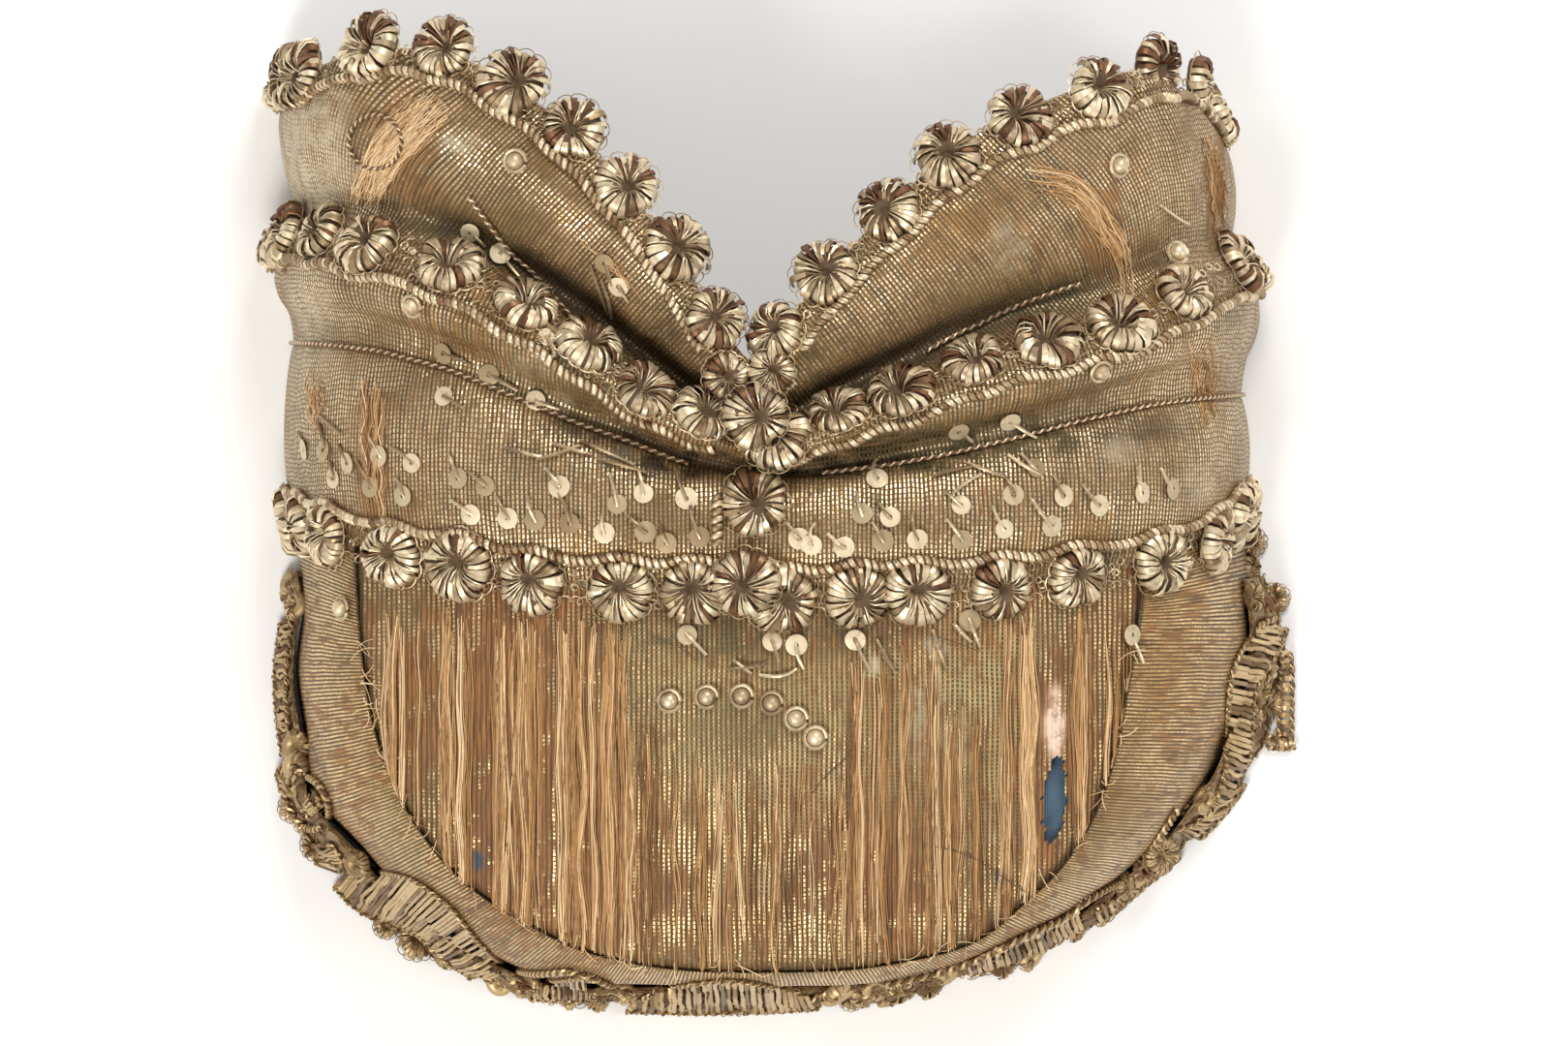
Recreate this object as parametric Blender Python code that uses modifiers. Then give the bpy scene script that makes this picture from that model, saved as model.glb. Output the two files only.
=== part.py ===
"""A stiff bonnet of padded metal-striped cloth, lying on its rim with the closed end up.

Three folded tiers run across an arch from floor to floor and meet in a knot; below them a U-shaped back panel is
ringed by a padded side band. Metal lace of rosettes covers the seams. Lengths are in metres. The work is laid out
from the point of the floor under the middle of the lower lace: x to the right, y towards the wings, z up.
"""

from collections import namedtuple
from math import asin, cos, exp, pi, sin

import bmesh
import bpy
import numpy as np
from mathutils import Vector
from mathutils.bvhtree import BVHTree

# Main sizes
HALF_WIDTH_LEFT = 0.0910
HALF_WIDTH_RIGHT = 0.0963
ARCH_HEIGHT = 0.0700
PANEL_LENGTH = 0.0743
TIERS_LENGTH = 0.1045

# The arch: how square its shoulders are, and how the right wing leans in towards its tip
ARCH_FULLNESS = 2.7
WING_LEAN = 0.08
LEAN_STARTS = 0.55

# Cloth
WALL = 0.0022
CLEARANCE = 0.0004
LOWER_PUFF = 0.0045
MIDDLE_ROLL = 0.0090
VALLEY_DEPTH = 0.0060
UPPER_ROLL = 0.0070
GATHER_DEPTH = 0.0010
GATHERS = 3
GATHER_FADES = 0.35
SIDE_FLATNESS = 0.6
KNOT_REACH = 0.12
KNOT_PINCH = 0.5

# Back panel and side band
PANEL_DROP = 0.22
BAND_FULLNESS = 1.35
BAND_END_FULLNESS = 1.68
BAND_PUFF = 0.0028
TEAR_WIDTH = 0.0046
TEAR_LENGTH = 0.0165
TEAR_SLANT = 0.07
PATCH_MARGIN = 0.0015
PATCH_THICKNESS = 0.0008

# Lace
LACE_WIDTH = 0.0112
LACE_PITCH = 0.0155
LACE_THICKNESS = 0.0030
LACE_EDGE = 0.0012
RIM_LACE_DEPTH = 0.0062
RIM_LACE_RISE = 0.0180
RIM_LACE_RUFFLES = 17
RIM_LACE_START = 0.035

# Knot, cords and studs
ROSETTE_RADIUS = 0.0061
ROSETTE_HEIGHT = 0.0042
CORD_DIAMETER = 0.0016
GIMP_DIAMETER = 0.0024
STUD_DIAMETER = 0.0046
STUD_HEIGHT = 0.0022

# Where laces and cords begin beside the knot, left and right, as shares of the half width
MIDDLE_LACE_STARTS = (-0.10, 0.06)
UPPER_LACE_STARTS = (-0.08, 0.05)
SEAM_CORD_STARTS = (-0.14, 0.14)

# Edges of the tiers. across is a share of the half width, left negative; the others are shares of TIERS_LENGTH.
Edge = namedtuple("Edge", "across lower groove middle upper")
EDGES = (
    Edge(-1.00, 0.140, 0.469, 0.671, 0.967),
    Edge(-0.92, 0.111, 0.464, 0.676, 0.989),
    Edge(-0.80, 0.076, 0.451, 0.653, 1.022),
    Edge(-0.65, 0.053, 0.415, 0.611, 1.016),
    Edge(-0.51, 0.025, 0.364, 0.549, 0.949),
    Edge(-0.38, 0.013, 0.316, 0.476, 0.864),
    Edge(-0.27, 0.007, 0.282, 0.413, 0.755),
    Edge(-0.16, 0.004, 0.244, 0.353, 0.636),
    Edge(-0.08, 0.000, 0.227, 0.320, 0.511),
    Edge(0.00, 0.000, 0.213, 0.292, 0.420),
    Edge(0.05, -0.006, 0.215, 0.290, 0.485),
    Edge(0.14, -0.005, 0.222, 0.325, 0.591),
    Edge(0.27, -0.002, 0.236, 0.364, 0.711),
    Edge(0.39, 0.004, 0.256, 0.407, 0.811),
    Edge(0.53, 0.013, 0.287, 0.455, 0.885),
    Edge(0.68, 0.035, 0.324, 0.489, 0.936),
    Edge(0.81, 0.058, 0.351, 0.545, 0.980),
    Edge(0.90, 0.091, 0.362, 0.591, 0.958),
    Edge(1.00, 0.158, 0.371, 0.622, 0.895),
)
EDGE_EASE = 0.02

# Sections of the side band, from left to right. Widths are shares of the half width of that side, lengths down from
# the lower lace of PANEL_LENGTH; depth and rise are the rim lace's, as shares of RIM_LACE_DEPTH and RIM_LACE_RISE.
Section = namedtuple("Section", "seam_across seam_down rim_across rim_down depth rise")
BAND = (
    Section(-0.858, -0.120, -1.000, -0.200, 0.4, 0.5),
    Section(-0.850, 0.075, -0.982, 0.030, 0.5, 0.6),
    Section(-0.839, 0.200, -0.995, 0.200, 0.5, 0.6),
    Section(-0.822, 0.330, -0.980, 0.361, 0.6, 0.7),
    Section(-0.785, 0.470, -0.964, 0.534, 0.8, 0.8),
    Section(-0.728, 0.610, -0.856, 0.684, 1.0, 1.0),
    Section(-0.628, 0.757, -0.742, 0.833, 1.0, 1.0),
    Section(-0.498, 0.865, -0.601, 0.951, 1.0, 1.0),
    Section(-0.351, 0.950, -0.413, 1.036, 0.8, 0.7),
    Section(-0.163, 0.993, -0.175, 1.028, 1.0, 0.7),
    Section(0.043, 1.000, 0.047, 1.025, 1.0, 0.7),
    Section(0.240, 0.987, 0.258, 1.021, 0.8, 0.6),
    Section(0.438, 0.928, 0.483, 0.957, 0.8, 0.6),
    Section(0.556, 0.813, 0.640, 0.863, 0.8, 0.7),
    Section(0.635, 0.710, 0.774, 0.738, 0.8, 0.8),
    Section(0.694, 0.583, 0.879, 0.602, 1.0, 0.9),
    Section(0.734, 0.430, 0.967, 0.440, 1.0, 1.0),
    Section(0.763, 0.225, 1.022, 0.225, 1.0, 1.0),
    Section(0.783, 0.070, 1.026, 0.060, 1.0, 1.0),
    Section(0.793, -0.075, 1.000, -0.225, 0.9, 0.9),
)

# Folds across the middle tier, from the groove to the middle lace, and across a wing, from that lace to its edge.
# lift is a share of MIDDLE_ROLL; in WING_FOLD edge is a share of it too, hollow of VALLEY_DEPTH, roll of UPPER_ROLL.
Fold = namedtuple("Fold", "along lift")
MIDDLE_FOLD = (
    Fold(0.00, 0.00),
    Fold(0.15, 0.08),
    Fold(0.30, 0.24),
    Fold(0.42, 0.72),
    Fold(0.58, 1.00),
    Fold(0.78, 0.95),
    Fold(1.00, 0.60),
)
Wing = namedtuple("Wing", "along edge hollow roll")
WING_FOLD = (
    Wing(0.00, 0.60, 0.00, 0.00),
    Wing(0.08, 0.25, 0.70, 0.00),
    Wing(0.18, 0.00, 1.00, 0.10),
    Wing(0.32, 0.00, 0.45, 0.45),
    Wing(0.50, 0.00, 0.00, 0.85),
    Wing(0.70, 0.00, 0.00, 1.00),
    Wing(0.88, 0.00, 0.00, 0.85),
    Wing(1.00, 0.00, 0.00, 0.50),
)
# How deep that hollow is along each wing
Hollow = namedtuple("Hollow", "across depth")
HOLLOWS = (
    Hollow(-1.00, 0.10),
    Hollow(-0.80, 0.25),
    Hollow(-0.55, 1.00),
    Hollow(-0.25, 1.00),
    Hollow(0.00, 0.40),
    Hollow(0.25, 1.00),
    Hollow(0.55, 0.90),
    Hollow(0.85, 0.30),
    Hollow(1.00, 0.10),
)

# Spots on the cloth. across is a share of the half width; along of TIERS_LENGTH, or of PANEL_LENGTH where negative.
Spot = namedtuple("Spot", "across along")
# Rosettes of the knot, from the top down. size is a share of ROSETTE_RADIUS.
Rosette = namedtuple("Rosette", "across along size")
KNOT = (
    Rosette(-0.058, 0.408, 0.68),
    Rosette(0.036, 0.412, 0.68),
    Rosette(0.004, 0.330, 0.95),
    Rosette(0.002, 0.171, 1.00),
    Rosette(-0.017, 0.020, 1.00),
)
STUD_SPOTS = (
    Spot(-0.508, 0.807),
    Spot(-0.728, 0.538),
    Spot(0.738, 0.800),
    Spot(0.852, 0.631),
    Spot(0.700, 0.418),
    Spot(-0.881, -0.040),
    Spot(-0.180, -0.281),
    Spot(-0.100, -0.271),
    Spot(-0.025, -0.269),
    Spot(0.037, -0.287),
    Spot(0.087, -0.328),
    Spot(0.126, -0.378),
)
# Cords on the wings, from an upper spot to the edge of the middle lace at a lower share across
WING_CORDS = {
    "wing_cord_left": (Spot(-0.603, 0.740), -0.490),
    "wing_cord_right": (Spot(0.655, 0.600), 0.470),
}
GIMP_SPOTS = (Spot(-0.077, 0.176), Spot(-0.077, 0.095))
TEAR_SPOT = Spot(0.612, -0.545)

# How finely things are worked out: steps along the arch, lace columns to a rosette, points of a cord
ARCH_STEPS = 400
LACE_COLUMNS = 4
GROOVE_POINTS = 12
# The halves of a tier leave this share free at the knot; laces and cords stop this far down the sides
KNOT_GAP = 0.004
LEG_END = 0.9995
# How far out rays start that seat one piece on another
SIGHT = 0.03


def smooth(share):
    """Eases from 0 to 1."""
    share = min(max(share, 0.0), 1.0)
    return share * share * (3 - 2 * share)


def read(rows, key, column, at, ease=0.0):
    """A column of a table at a place between its rows, eased over the corners."""
    places = [getattr(row, key) for row in rows]
    values = [getattr(row, column) for row in rows]
    near = at + np.linspace(-ease, ease, 5)
    return float(np.mean(np.interp(near, places, values)))


def edge(across, column):
    return TIERS_LENGTH * read(EDGES, "across", column, across, EDGE_EASE)


def half_width(across, y):
    if across < 0:
        return HALF_WIDTH_LEFT
    lean = smooth((y / TIERS_LENGTH - LEAN_STARTS) / (1 - LEAN_STARTS))
    return HALF_WIDTH_RIGHT * (1 - WING_LEAN * lean)


def arch_shares(turn):
    """Across and up, as shares, at a turn from -1 at the left floor to 1 at the right floor."""
    power = 2 / ARCH_FULLNESS
    side = -1 if turn < 0 else 1
    across = side * abs(sin(turn * pi / 2)) ** power
    up = max(cos(turn * pi / 2), 0.0) ** power if abs(turn) < 1 else 0.0
    return across, up


def turn_at(across):
    side = -1 if across < 0 else 1
    return side * asin(min(abs(across), 1.0) ** (ARCH_FULLNESS / 2)) * 2 / pi


def arch_lengths():
    """The way along the arch from its top, negative to the left, for even steps of the turn."""
    turns = np.linspace(-1, 1, ARCH_STEPS + 1)
    points = [on_arch(turn, 0.0, 0.0) for turn in turns]
    steps = [(b - a).length for a, b in zip(points, points[1:])]
    ways = np.concatenate(([0.0], np.cumsum(steps)))
    return turns, ways - ways[ARCH_STEPS // 2]


def on_arch(turn, y, lift):
    """A point of the arch, raised by lift along its outward direction."""
    across, up = arch_shares(turn)
    width = half_width(across, y)
    side = -1 if across < 0 else 1
    out = Vector((
        side * abs(across) ** (ARCH_FULLNESS - 1) / width,
        0.0,
        up ** (ARCH_FULLNESS - 1) / ARCH_HEIGHT,
    )).normalized()
    return Vector((across * width, y, up * ARCH_HEIGHT)) + out * lift


def flatter(across):
    """Rolls are full over the top, flatter down the sides and pinched at the knot."""
    side = 1 - SIDE_FLATNESS * across**4
    knot = 1 - KNOT_PINCH * (1 - smooth(abs(across) / KNOT_REACH))
    return side * knot


def gathers(across, along):
    return GATHER_DEPTH * cos(2 * pi * GATHERS * along) * exp(-abs(across) / GATHER_FADES)


def lower_lift(across, along):
    return LOWER_PUFF * sin(pi * min(max(along, 0.0), 1.0)) ** 0.7 * (1 - SIDE_FLATNESS * across**4)


def middle_lift(across, along):
    return MIDDLE_ROLL * read(MIDDLE_FOLD, "along", "lift", along, 0.03) * flatter(across)


def upper_lift(across, along):
    ends = sin(pi * min(max(along, 0.0), 1.0))
    folded = MIDDLE_ROLL * read(WING_FOLD, "along", "edge", along)
    roll = UPPER_ROLL * read(WING_FOLD, "along", "roll", along)
    hollow = VALLEY_DEPTH * read(WING_FOLD, "along", "hollow", along) * read(HOLLOWS, "across", "depth", across)
    return (folded + roll) * flatter(across) - hollow + gathers(across, along) * ends


def cloth_lift(across, y):
    """How far the cloth stands off the arch at this place, whichever tier covers it."""
    lower, groove = edge(across, "lower"), edge(across, "groove")
    middle, upper = edge(across, "middle"), edge(across, "upper")
    if y < lower:
        return 0.0
    if y < groove:
        return lower_lift(across, (y - lower) / (groove - lower))
    if y < middle:
        return middle_lift(across, (y - groove) / (middle - groove))
    return upper_lift(across, min((y - middle) / (upper - middle), 1.0))


def panel_height(x, y):
    """Height of the back panel: the arch, dropping towards the bottom of the U."""
    width = HALF_WIDTH_LEFT if x < 0 else HALF_WIDTH_RIGHT
    share = min(abs(x) / width, 1.0)
    arch = ARCH_HEIGHT * (1 - share**ARCH_FULLNESS) ** (1 / ARCH_FULLNESS)
    down = max(-y, 0.0) / PANEL_LENGTH
    return arch * (1 - PANEL_DROP * down * down)


def side_width(across):
    return HALF_WIDTH_LEFT if across < 0 else HALF_WIDTH_RIGHT


def band_value(place, column):
    """A column of the band's table at a place from 0 at its left end to 1 at its right end."""
    return eased([getattr(row, column) for row in BAND], place * (len(BAND) - 1))


def band_section(place):
    """Seam point and rim point of the side band, in plan."""
    seam_across, rim_across = band_value(place, "seam_across"), band_value(place, "rim_across")
    seam = Vector((seam_across * side_width(seam_across), -band_value(place, "seam_down") * PANEL_LENGTH, 0.0))
    rim = Vector((rim_across * side_width(rim_across), -band_value(place, "rim_down") * PANEL_LENGTH, 0.0))
    seam.y = min(seam.y, edge(seam_across, "lower") - CLEARANCE)
    return seam, rim


def eased(values, at):
    """A value between two rows, on a smooth curve through all of them."""
    last = len(values) - 1
    i = min(int(at), last - 1)
    t = at - i
    before, here, there, after = values[max(i - 1, 0)], values[i], values[i + 1], values[min(i + 2, last)]
    slope_here, slope_there = (there - before) / 2, (after - here) / 2
    return (
        (2 * t**3 - 3 * t**2 + 1) * here
        + (t**3 - 2 * t**2 + t) * slope_here
        + (3 * t**2 - 2 * t**3) * there
        + (t**3 - t**2) * slope_there
    )


def band_ends(place):
    """0 at the two ends of the band, 1 along the rest of it."""
    return smooth(6 * place) * smooth(6 * (1 - place))


def band_fullness(place):
    return BAND_END_FULLNESS + (BAND_FULLNESS - BAND_END_FULLNESS) * band_ends(place)


def band_point(place, angle, outer):
    """A point of the side band, at an angle from 0 at the floor to a quarter turn at the seam."""
    seam, rim = band_section(place)
    away = rim - seam
    wall = 0.0 if outer else WALL
    power = 2 / band_fullness(place)
    run = (away.length - wall) * max(cos(angle), 0.0) ** power
    rise = (panel_height(seam.x, seam.y) - wall) * max(sin(angle), 0.0) ** power
    puff = BAND_PUFF * sin(2 * angle) ** 2 * band_ends(place) if outer else 0.0
    point = seam + away.normalized() * (run + puff * sin(angle))
    point.z = rise + puff * cos(angle)
    point.y = min(point.y, edge(point.x / side_width(point.x), "lower") - CLEARANCE)
    return point


def shell(name, columns, rows, place, cloth):
    """A closed wall: place(u, v, outer) gives the points of its two faces, u and v running from 0 to 1."""
    wall = bmesh.new()
    bmesh.ops.create_grid(wall, x_segments=columns, y_segments=rows, size=1.0)
    copied = bmesh.ops.extrude_face_region(wall, geom=wall.faces[:])
    for item in copied["geom"]:
        if isinstance(item, bmesh.types.BMVert):
            item.co.z = 1.0
    for vertex in wall.verts:
        u, v = (vertex.co.x + 1) / 2, (vertex.co.y + 1) / 2
        vertex.co = place(u, v, vertex.co.z > 0.5)
    bmesh.ops.recalc_face_normals(wall, faces=wall.faces)
    mesh = bpy.data.meshes.new(name)
    wall.to_mesh(mesh)
    wall.free()
    mesh.shade_smooth()
    mesh.set_sharp_from_angle(angle=pi / 4)
    return new_piece(name, mesh, cloth)


def new_piece(name, data, material):
    """A named object of the bonnet, under its frame."""
    data.materials.append(material)
    piece = bpy.data.objects.new(name, data)
    PIECES.objects.link(piece)
    piece.parent = FRAME
    return piece


def look(name, colour, roughness, metallic):
    material = bpy.data.materials.new(name)
    material.use_nodes = True
    shader = material.node_tree.nodes["Principled BSDF"]
    shader.inputs["Base Color"].default_value = (*colour, 1.0)
    shader.inputs["Roughness"].default_value = roughness
    shader.inputs["Metallic"].default_value = metallic
    return material


def tier(name, from_across, to_across, low, high, lift, columns, rows, cloth):
    """A folded tier between two edges of the table, over the arch from one share of its width to another."""
    turns, ways = ARCH_WAYS
    start = np.interp(turn_at(from_across), turns, ways)
    end = np.interp(turn_at(to_across), turns, ways)

    def place(u, v, outer):
        turn = float(np.interp(start + (end - start) * u, ways, turns))
        across, _ = arch_shares(turn)
        bottom, top = edge(across, low) + CLEARANCE / 2, edge(across, high) - CLEARANCE / 2
        raised = lift(across, v)
        return on_arch(turn, bottom + (top - bottom) * v, raised if outer else raised - WALL)

    return shell(name, columns, rows, place, cloth)


def back_panel(cloth):
    """The closed end: one column of cloth for each section of the band, from the lower lace to the seam."""
    columns = 2 * (len(BAND) - 1)

    def place(u, v, outer):
        seam, rim = band_section(u)
        inward = (seam - rim).normalized() * CLEARANCE
        bottom = seam + inward
        top = edge(bottom.x / side_width(bottom.x), "lower") - CLEARANCE / 2
        lowest = min(bottom.y, top - WALL)
        y = lowest + (top - lowest) * v
        return Vector((bottom.x, y, panel_height(bottom.x, y) - (0.0 if outer else WALL)))

    panel = shell("back_panel", columns, 8, place, cloth)
    x, y = spot_plan(TEAR_SPOT)
    middle = (x, y, panel_height(x, y))
    bpy.ops.mesh.primitive_cylinder_add(vertices=8, radius=0.5, depth=12 * WALL, location=middle)
    cutter = bpy.context.object
    cutter.name = "tear_cutter"
    for vertex in cutter.data.vertices:
        vertex.co.x *= TEAR_WIDTH
        vertex.co.y *= TEAR_LENGTH
        vertex.co.x += TEAR_SLANT * vertex.co.y
    move_to(cutter, CUTTERS)
    cutter.hide_render = True
    cutter.display_type = "WIRE"
    cutter.parent = FRAME
    cut = panel.modifiers.new("tear", "BOOLEAN")
    cut.operation = "DIFFERENCE"
    cut.object = cutter
    return panel


def move_to(piece, collection):
    for other in list(piece.users_collection):
        other.objects.unlink(piece)
    collection.objects.link(piece)


def tear_patch(cloth):
    """The blue cloth right under the tear."""
    x, y = spot_plan(TEAR_SPOT)
    wide, long = TEAR_WIDTH / 2 + PATCH_MARGIN, TEAR_LENGTH / 2 + PATCH_MARGIN

    def place(u, v, outer):
        at_x, at_y = x + wide * (2 * u - 1), y + long * (2 * v - 1)
        under = panel_height(at_x, at_y) - WALL - 1.5 * CLEARANCE
        return Vector((at_x, at_y, under - (0.0 if outer else PATCH_THICKNESS)))

    return shell("tear_patch", 2, 4, place, cloth)


def side_band(cloth):
    """The padded roll round the U, down to the rim that the bonnet rests on."""
    columns = 2 * (len(BAND) - 1)

    def place(u, v, outer):
        return band_point(u, v * pi / 2, outer)

    return shell("side_band", columns, 6, place, cloth)


def spot_plan(spot):
    """Where a spot lies in plan."""
    length = PANEL_LENGTH if spot.along < 0 else TIERS_LENGTH
    return spot.across * side_width(spot.across), spot.along * length


def ground(piece):
    """Adds a piece to what later pieces are seated on."""
    bpy.context.view_layer.update()
    shown = piece.evaluated_get(bpy.context.evaluated_depsgraph_get())
    mesh = shown.to_mesh()
    corners = [piece.matrix_world @ vertex.co for vertex in mesh.vertices]
    faces = [tuple(face.vertices) for face in mesh.polygons]
    shown.to_mesh_clear()
    GROUND.append(BVHTree.FromPolygons(corners, faces))


def first_hit(start, way):
    """The nearest point of the ground from a start along a way, with its normal and distance."""
    hits = [tree.ray_cast(start, way) for tree in GROUND]
    hits = [hit for hit in hits if hit[0] is not None]
    return min(hits, key=lambda hit: hit[3]) if hits else None


def arch_bed(turn, y):
    """How far the ground stands off the arch here."""
    across, _ = arch_shares(turn)
    found = [cloth_lift(across, y)]
    for side in (-CLEARANCE, CLEARANCE):
        start = on_arch(turn, y + side, SIGHT)
        hit = first_hit(start, (on_arch(turn, y + side, 0.0) - start).normalized())
        if hit and SIGHT - hit[3] > -VALLEY_DEPTH:
            found.append(SIGHT - hit[3])
    return max(found[1:] or found)


def spot_frame(spot, rings, upright=0.0):
    """A point over the ground at a spot, high enough for the rings of a piece's underside, and the way it faces."""
    x, y = spot_plan(spot)
    down = Vector((0.0, 0.0, -1.0))
    reach = max(radius for radius, height in rings)
    ring = [Vector((cos(i * pi / 4), sin(i * pi / 4), 0.0)) * reach for i in range(8)]
    high = Vector((x, y, 2 * ARCH_HEIGHT))
    around = [first_hit(high + step, down) for step in ring]
    points = [hit[0] for hit in around if hit]
    out = sum((a.cross(b) for a, b in zip(ring, ring[1:] + ring[:1])), Vector())
    if len(points) == len(ring):
        out = sum(((a - points[4]).cross(b - points[4]) for a, b in zip(points, points[1:] + points[:1])), Vector())
    out = (out.normalized() * (1 - upright) - down * upright).normalized()
    seen = first_hit(high, down)
    middle = seen[0] if seen else cloth_point(x, y)
    side = out.orthogonal().normalized()
    spin = out.cross(side)
    tallest = 0.0
    inner = [(rings[-1][0] * share, rings[-1][1]) for share in (0.35, 0.7)]
    for radius, height in (*rings, *inner):
        for i in range(24):
            step = (side * cos(i * pi / 12) + spin * sin(i * pi / 12)) * radius
            hit = first_hit(middle + step + out * SIGHT, -out)
            if hit:
                tallest = max(tallest, SIGHT - hit[3] - height)
    return middle + out * tallest, out


def cloth_point(x, y):
    """The outer face of the cloth over a place in plan, by its formula."""
    if y < edge(x / side_width(x), "lower"):
        return Vector((x, y, panel_height(x, y)))
    across = x / half_width(x, y)
    return on_arch(turn_at(across), y, cloth_lift(across, y))


def lace(name, from_across, to_across, column, metal):
    """A strip of metal lace along a seam: a row of domed rosettes with pinched necks between them."""
    turns, ways = ARCH_WAYS
    start = float(np.interp(turn_at(from_across), turns, ways))
    end = float(np.interp(turn_at(to_across), turns, ways))

    def centre(way):
        across, _ = arch_shares(float(np.interp(way, ways, turns)))
        return Vector((way, edge(across, column), 0.0))

    samples = [centre(start + (end - start) * i / ARCH_STEPS) for i in range(ARCH_STEPS + 1)]
    run = np.concatenate(([0.0], np.cumsum([(b - a).length for a, b in zip(samples, samples[1:])])))
    rosettes = max(round(run[-1] / LACE_PITCH), 1)

    def place(u, v, outer):
        along = u * run[-1]
        way = start + (end - start) * float(np.interp(along, run, np.linspace(0, 1, len(run))))
        step = (end - start) / ARCH_STEPS
        tangent = (centre(way + step) - centre(way - step)).normalized()
        bump = abs(sin(pi * u * rosettes)) ** 0.6
        half = LACE_WIDTH / 2 * (0.62 + 0.38 * bump)
        spot = centre(way) + Vector((-tangent.y, tangent.x, 0.0)) * half * (2 * v - 1)
        turn = float(np.interp(spot.x, ways, turns))
        here, sideways = arch_bed(turn, spot.y), Vector((-tangent.y, tangent.x, 0.0)) * half
        raised = 0.0
        for step in (-1, 1):
            if 0 <= v + step / 2 <= 1:
                far, near = spot + sideways * step, spot + sideways * step / 2
                level = (here + arch_bed(float(np.interp(far.x, ways, turns)), far.y)) / 2
                raised = max(raised, arch_bed(float(np.interp(near.x, ways, turns)), near.y) - level)
        bed = here + raised + 2 * CLEARANCE
        middle = 1 - abs(2 * v - 1)
        top = LACE_EDGE + (LACE_THICKNESS - LACE_EDGE) * middle * (0.45 + 0.55 * bump)
        return on_arch(turn, spot.y, bed + (top if outer else 0.0))

    return shell(name, rosettes * LACE_COLUMNS, 2, place, metal)


def rim_lace(metal):
    """The pleated lace round the outside of the rim, which the bonnet rests on too."""
    columns = 4 * RIM_LACE_RUFFLES

    def place(u, v, outer):
        at = RIM_LACE_START + (1 - 2 * RIM_LACE_START) * u
        seam, rim = band_section(at)
        height = panel_height(seam.x, seam.y)
        ruffle = 0.5 + 0.5 * cos(2 * pi * RIM_LACE_RUFFLES * u)
        rise = RIM_LACE_RISE * band_value(at, "rise") * v * (0.85 + 0.15 * ruffle)
        power = band_fullness(at)
        angle = asin(min((rise / height) ** (power / 2), 1.0))
        bulge = BAND_PUFF * sin(2 * angle) ** 2 * band_ends(at)
        run = (rim - seam).length * cos(angle) ** (2 / power) + bulge
        depth = RIM_LACE_DEPTH * band_value(at, "depth") * (0.55 + 0.45 * ruffle) * (1 - 0.75 * v)
        point = seam + (rim - seam).normalized() * (run + 2 * CLEARANCE + (depth if outer else 0.0))
        point.z = rise
        return point

    return shell("rim_lace", columns, 2, place, metal)


def turned(name, profile, sides, spot, upright, metal):
    """A small turned piece on the ground at a spot, square to the ground at upright 0 and level at 1."""
    mesh = bpy.data.meshes.new(name)
    edges = [(i, i + 1) for i in range(len(profile) - 1)]
    mesh.from_pydata([(radius, 0.0, height) for radius, height in profile], edges, [])
    mesh.shade_smooth()
    piece = new_piece(name, mesh, metal)
    screw = piece.modifiers.new("turn", "SCREW")
    screw.steps = screw.render_steps = sides
    screw.use_merge_vertices = True
    screw.merge_threshold = 0.00001
    point, out = spot_frame(spot, profile[-3:-1], upright)
    piece.location = point + out * CLEARANCE
    piece.rotation_euler = Vector((0.0, 0.0, 1.0)).rotation_difference(out).to_euler()
    return piece


def knot_rosette(number, row, metal):
    radius = ROSETTE_RADIUS * row.size
    profile = (
        (0.0, ROSETTE_HEIGHT * 0.45),
        (radius * 0.45, ROSETTE_HEIGHT),
        (radius * 0.85, ROSETTE_HEIGHT * 0.8),
        (radius, ROSETTE_HEIGHT * 0.25),
        (radius * 0.8, 0.0),
        (0.0, 0.0),
    )
    return turned(f"knot_rosette_{number}", profile, 12, row, 0.7, metal)


def stud(number, spot, metal):
    radius = STUD_DIAMETER / 2
    profile = (
        (0.0, STUD_HEIGHT),
        (radius * 0.6, STUD_HEIGHT * 0.75),
        (radius, STUD_HEIGHT * 0.25),
        (radius, 0.0),
        (0.0, 0.0),
    )
    return turned(f"stud_{number}", profile, 10, spot, 0.0, metal)


def cord(name, points, diameter, metal):
    """A round cord through points, with filled ends."""
    curve = bpy.data.curves.new(name, "CURVE")
    curve.dimensions = "3D"
    curve.bevel_depth = diameter / 2
    curve.bevel_resolution = 1
    curve.use_fill_caps = True
    spline = curve.splines.new("POLY")
    spline.points.add(len(points) - 1)
    for point, at in zip(spline.points, points):
        point.co = (*at, 1.0)
    return new_piece(name, curve, metal)


def groove_cord(name, from_across, to_across, metal):
    """Twisted cord in the groove between the lower and the middle tier."""
    turns, ways = ARCH_WAYS
    start = float(np.interp(turn_at(from_across), turns, ways))
    end = float(np.interp(turn_at(to_across), turns, ways))
    points = []
    for i in range(GROOVE_POINTS):
        turn = float(np.interp(start + (end - start) * i / (GROOVE_POINTS - 1), ways, turns))
        across, _ = arch_shares(turn)
        y = edge(across, "groove")
        sides = max(arch_bed(turn, y - CORD_DIAMETER / 2), arch_bed(turn, y + CORD_DIAMETER / 2))
        points.append(on_arch(turn, y, sides + CORD_DIAMETER / 2 + CLEARANCE))
    return cord(name, points, CORD_DIAMETER, metal)


def line_cord(name, ends, count, diameter, metal):
    """Cord lying on the cloth between two spots."""
    points = []
    for i in range(count):
        share = i / (count - 1)
        spot = Spot(*(a + (b - a) * share for a, b in zip(*ends)))
        point, out = spot_frame(spot, ((0.6 * diameter, 0.0),), 1.0)
        points.append(point + out * (diameter / 2 + CLEARANCE))
    return cord(name, points, diameter, metal)


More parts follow.
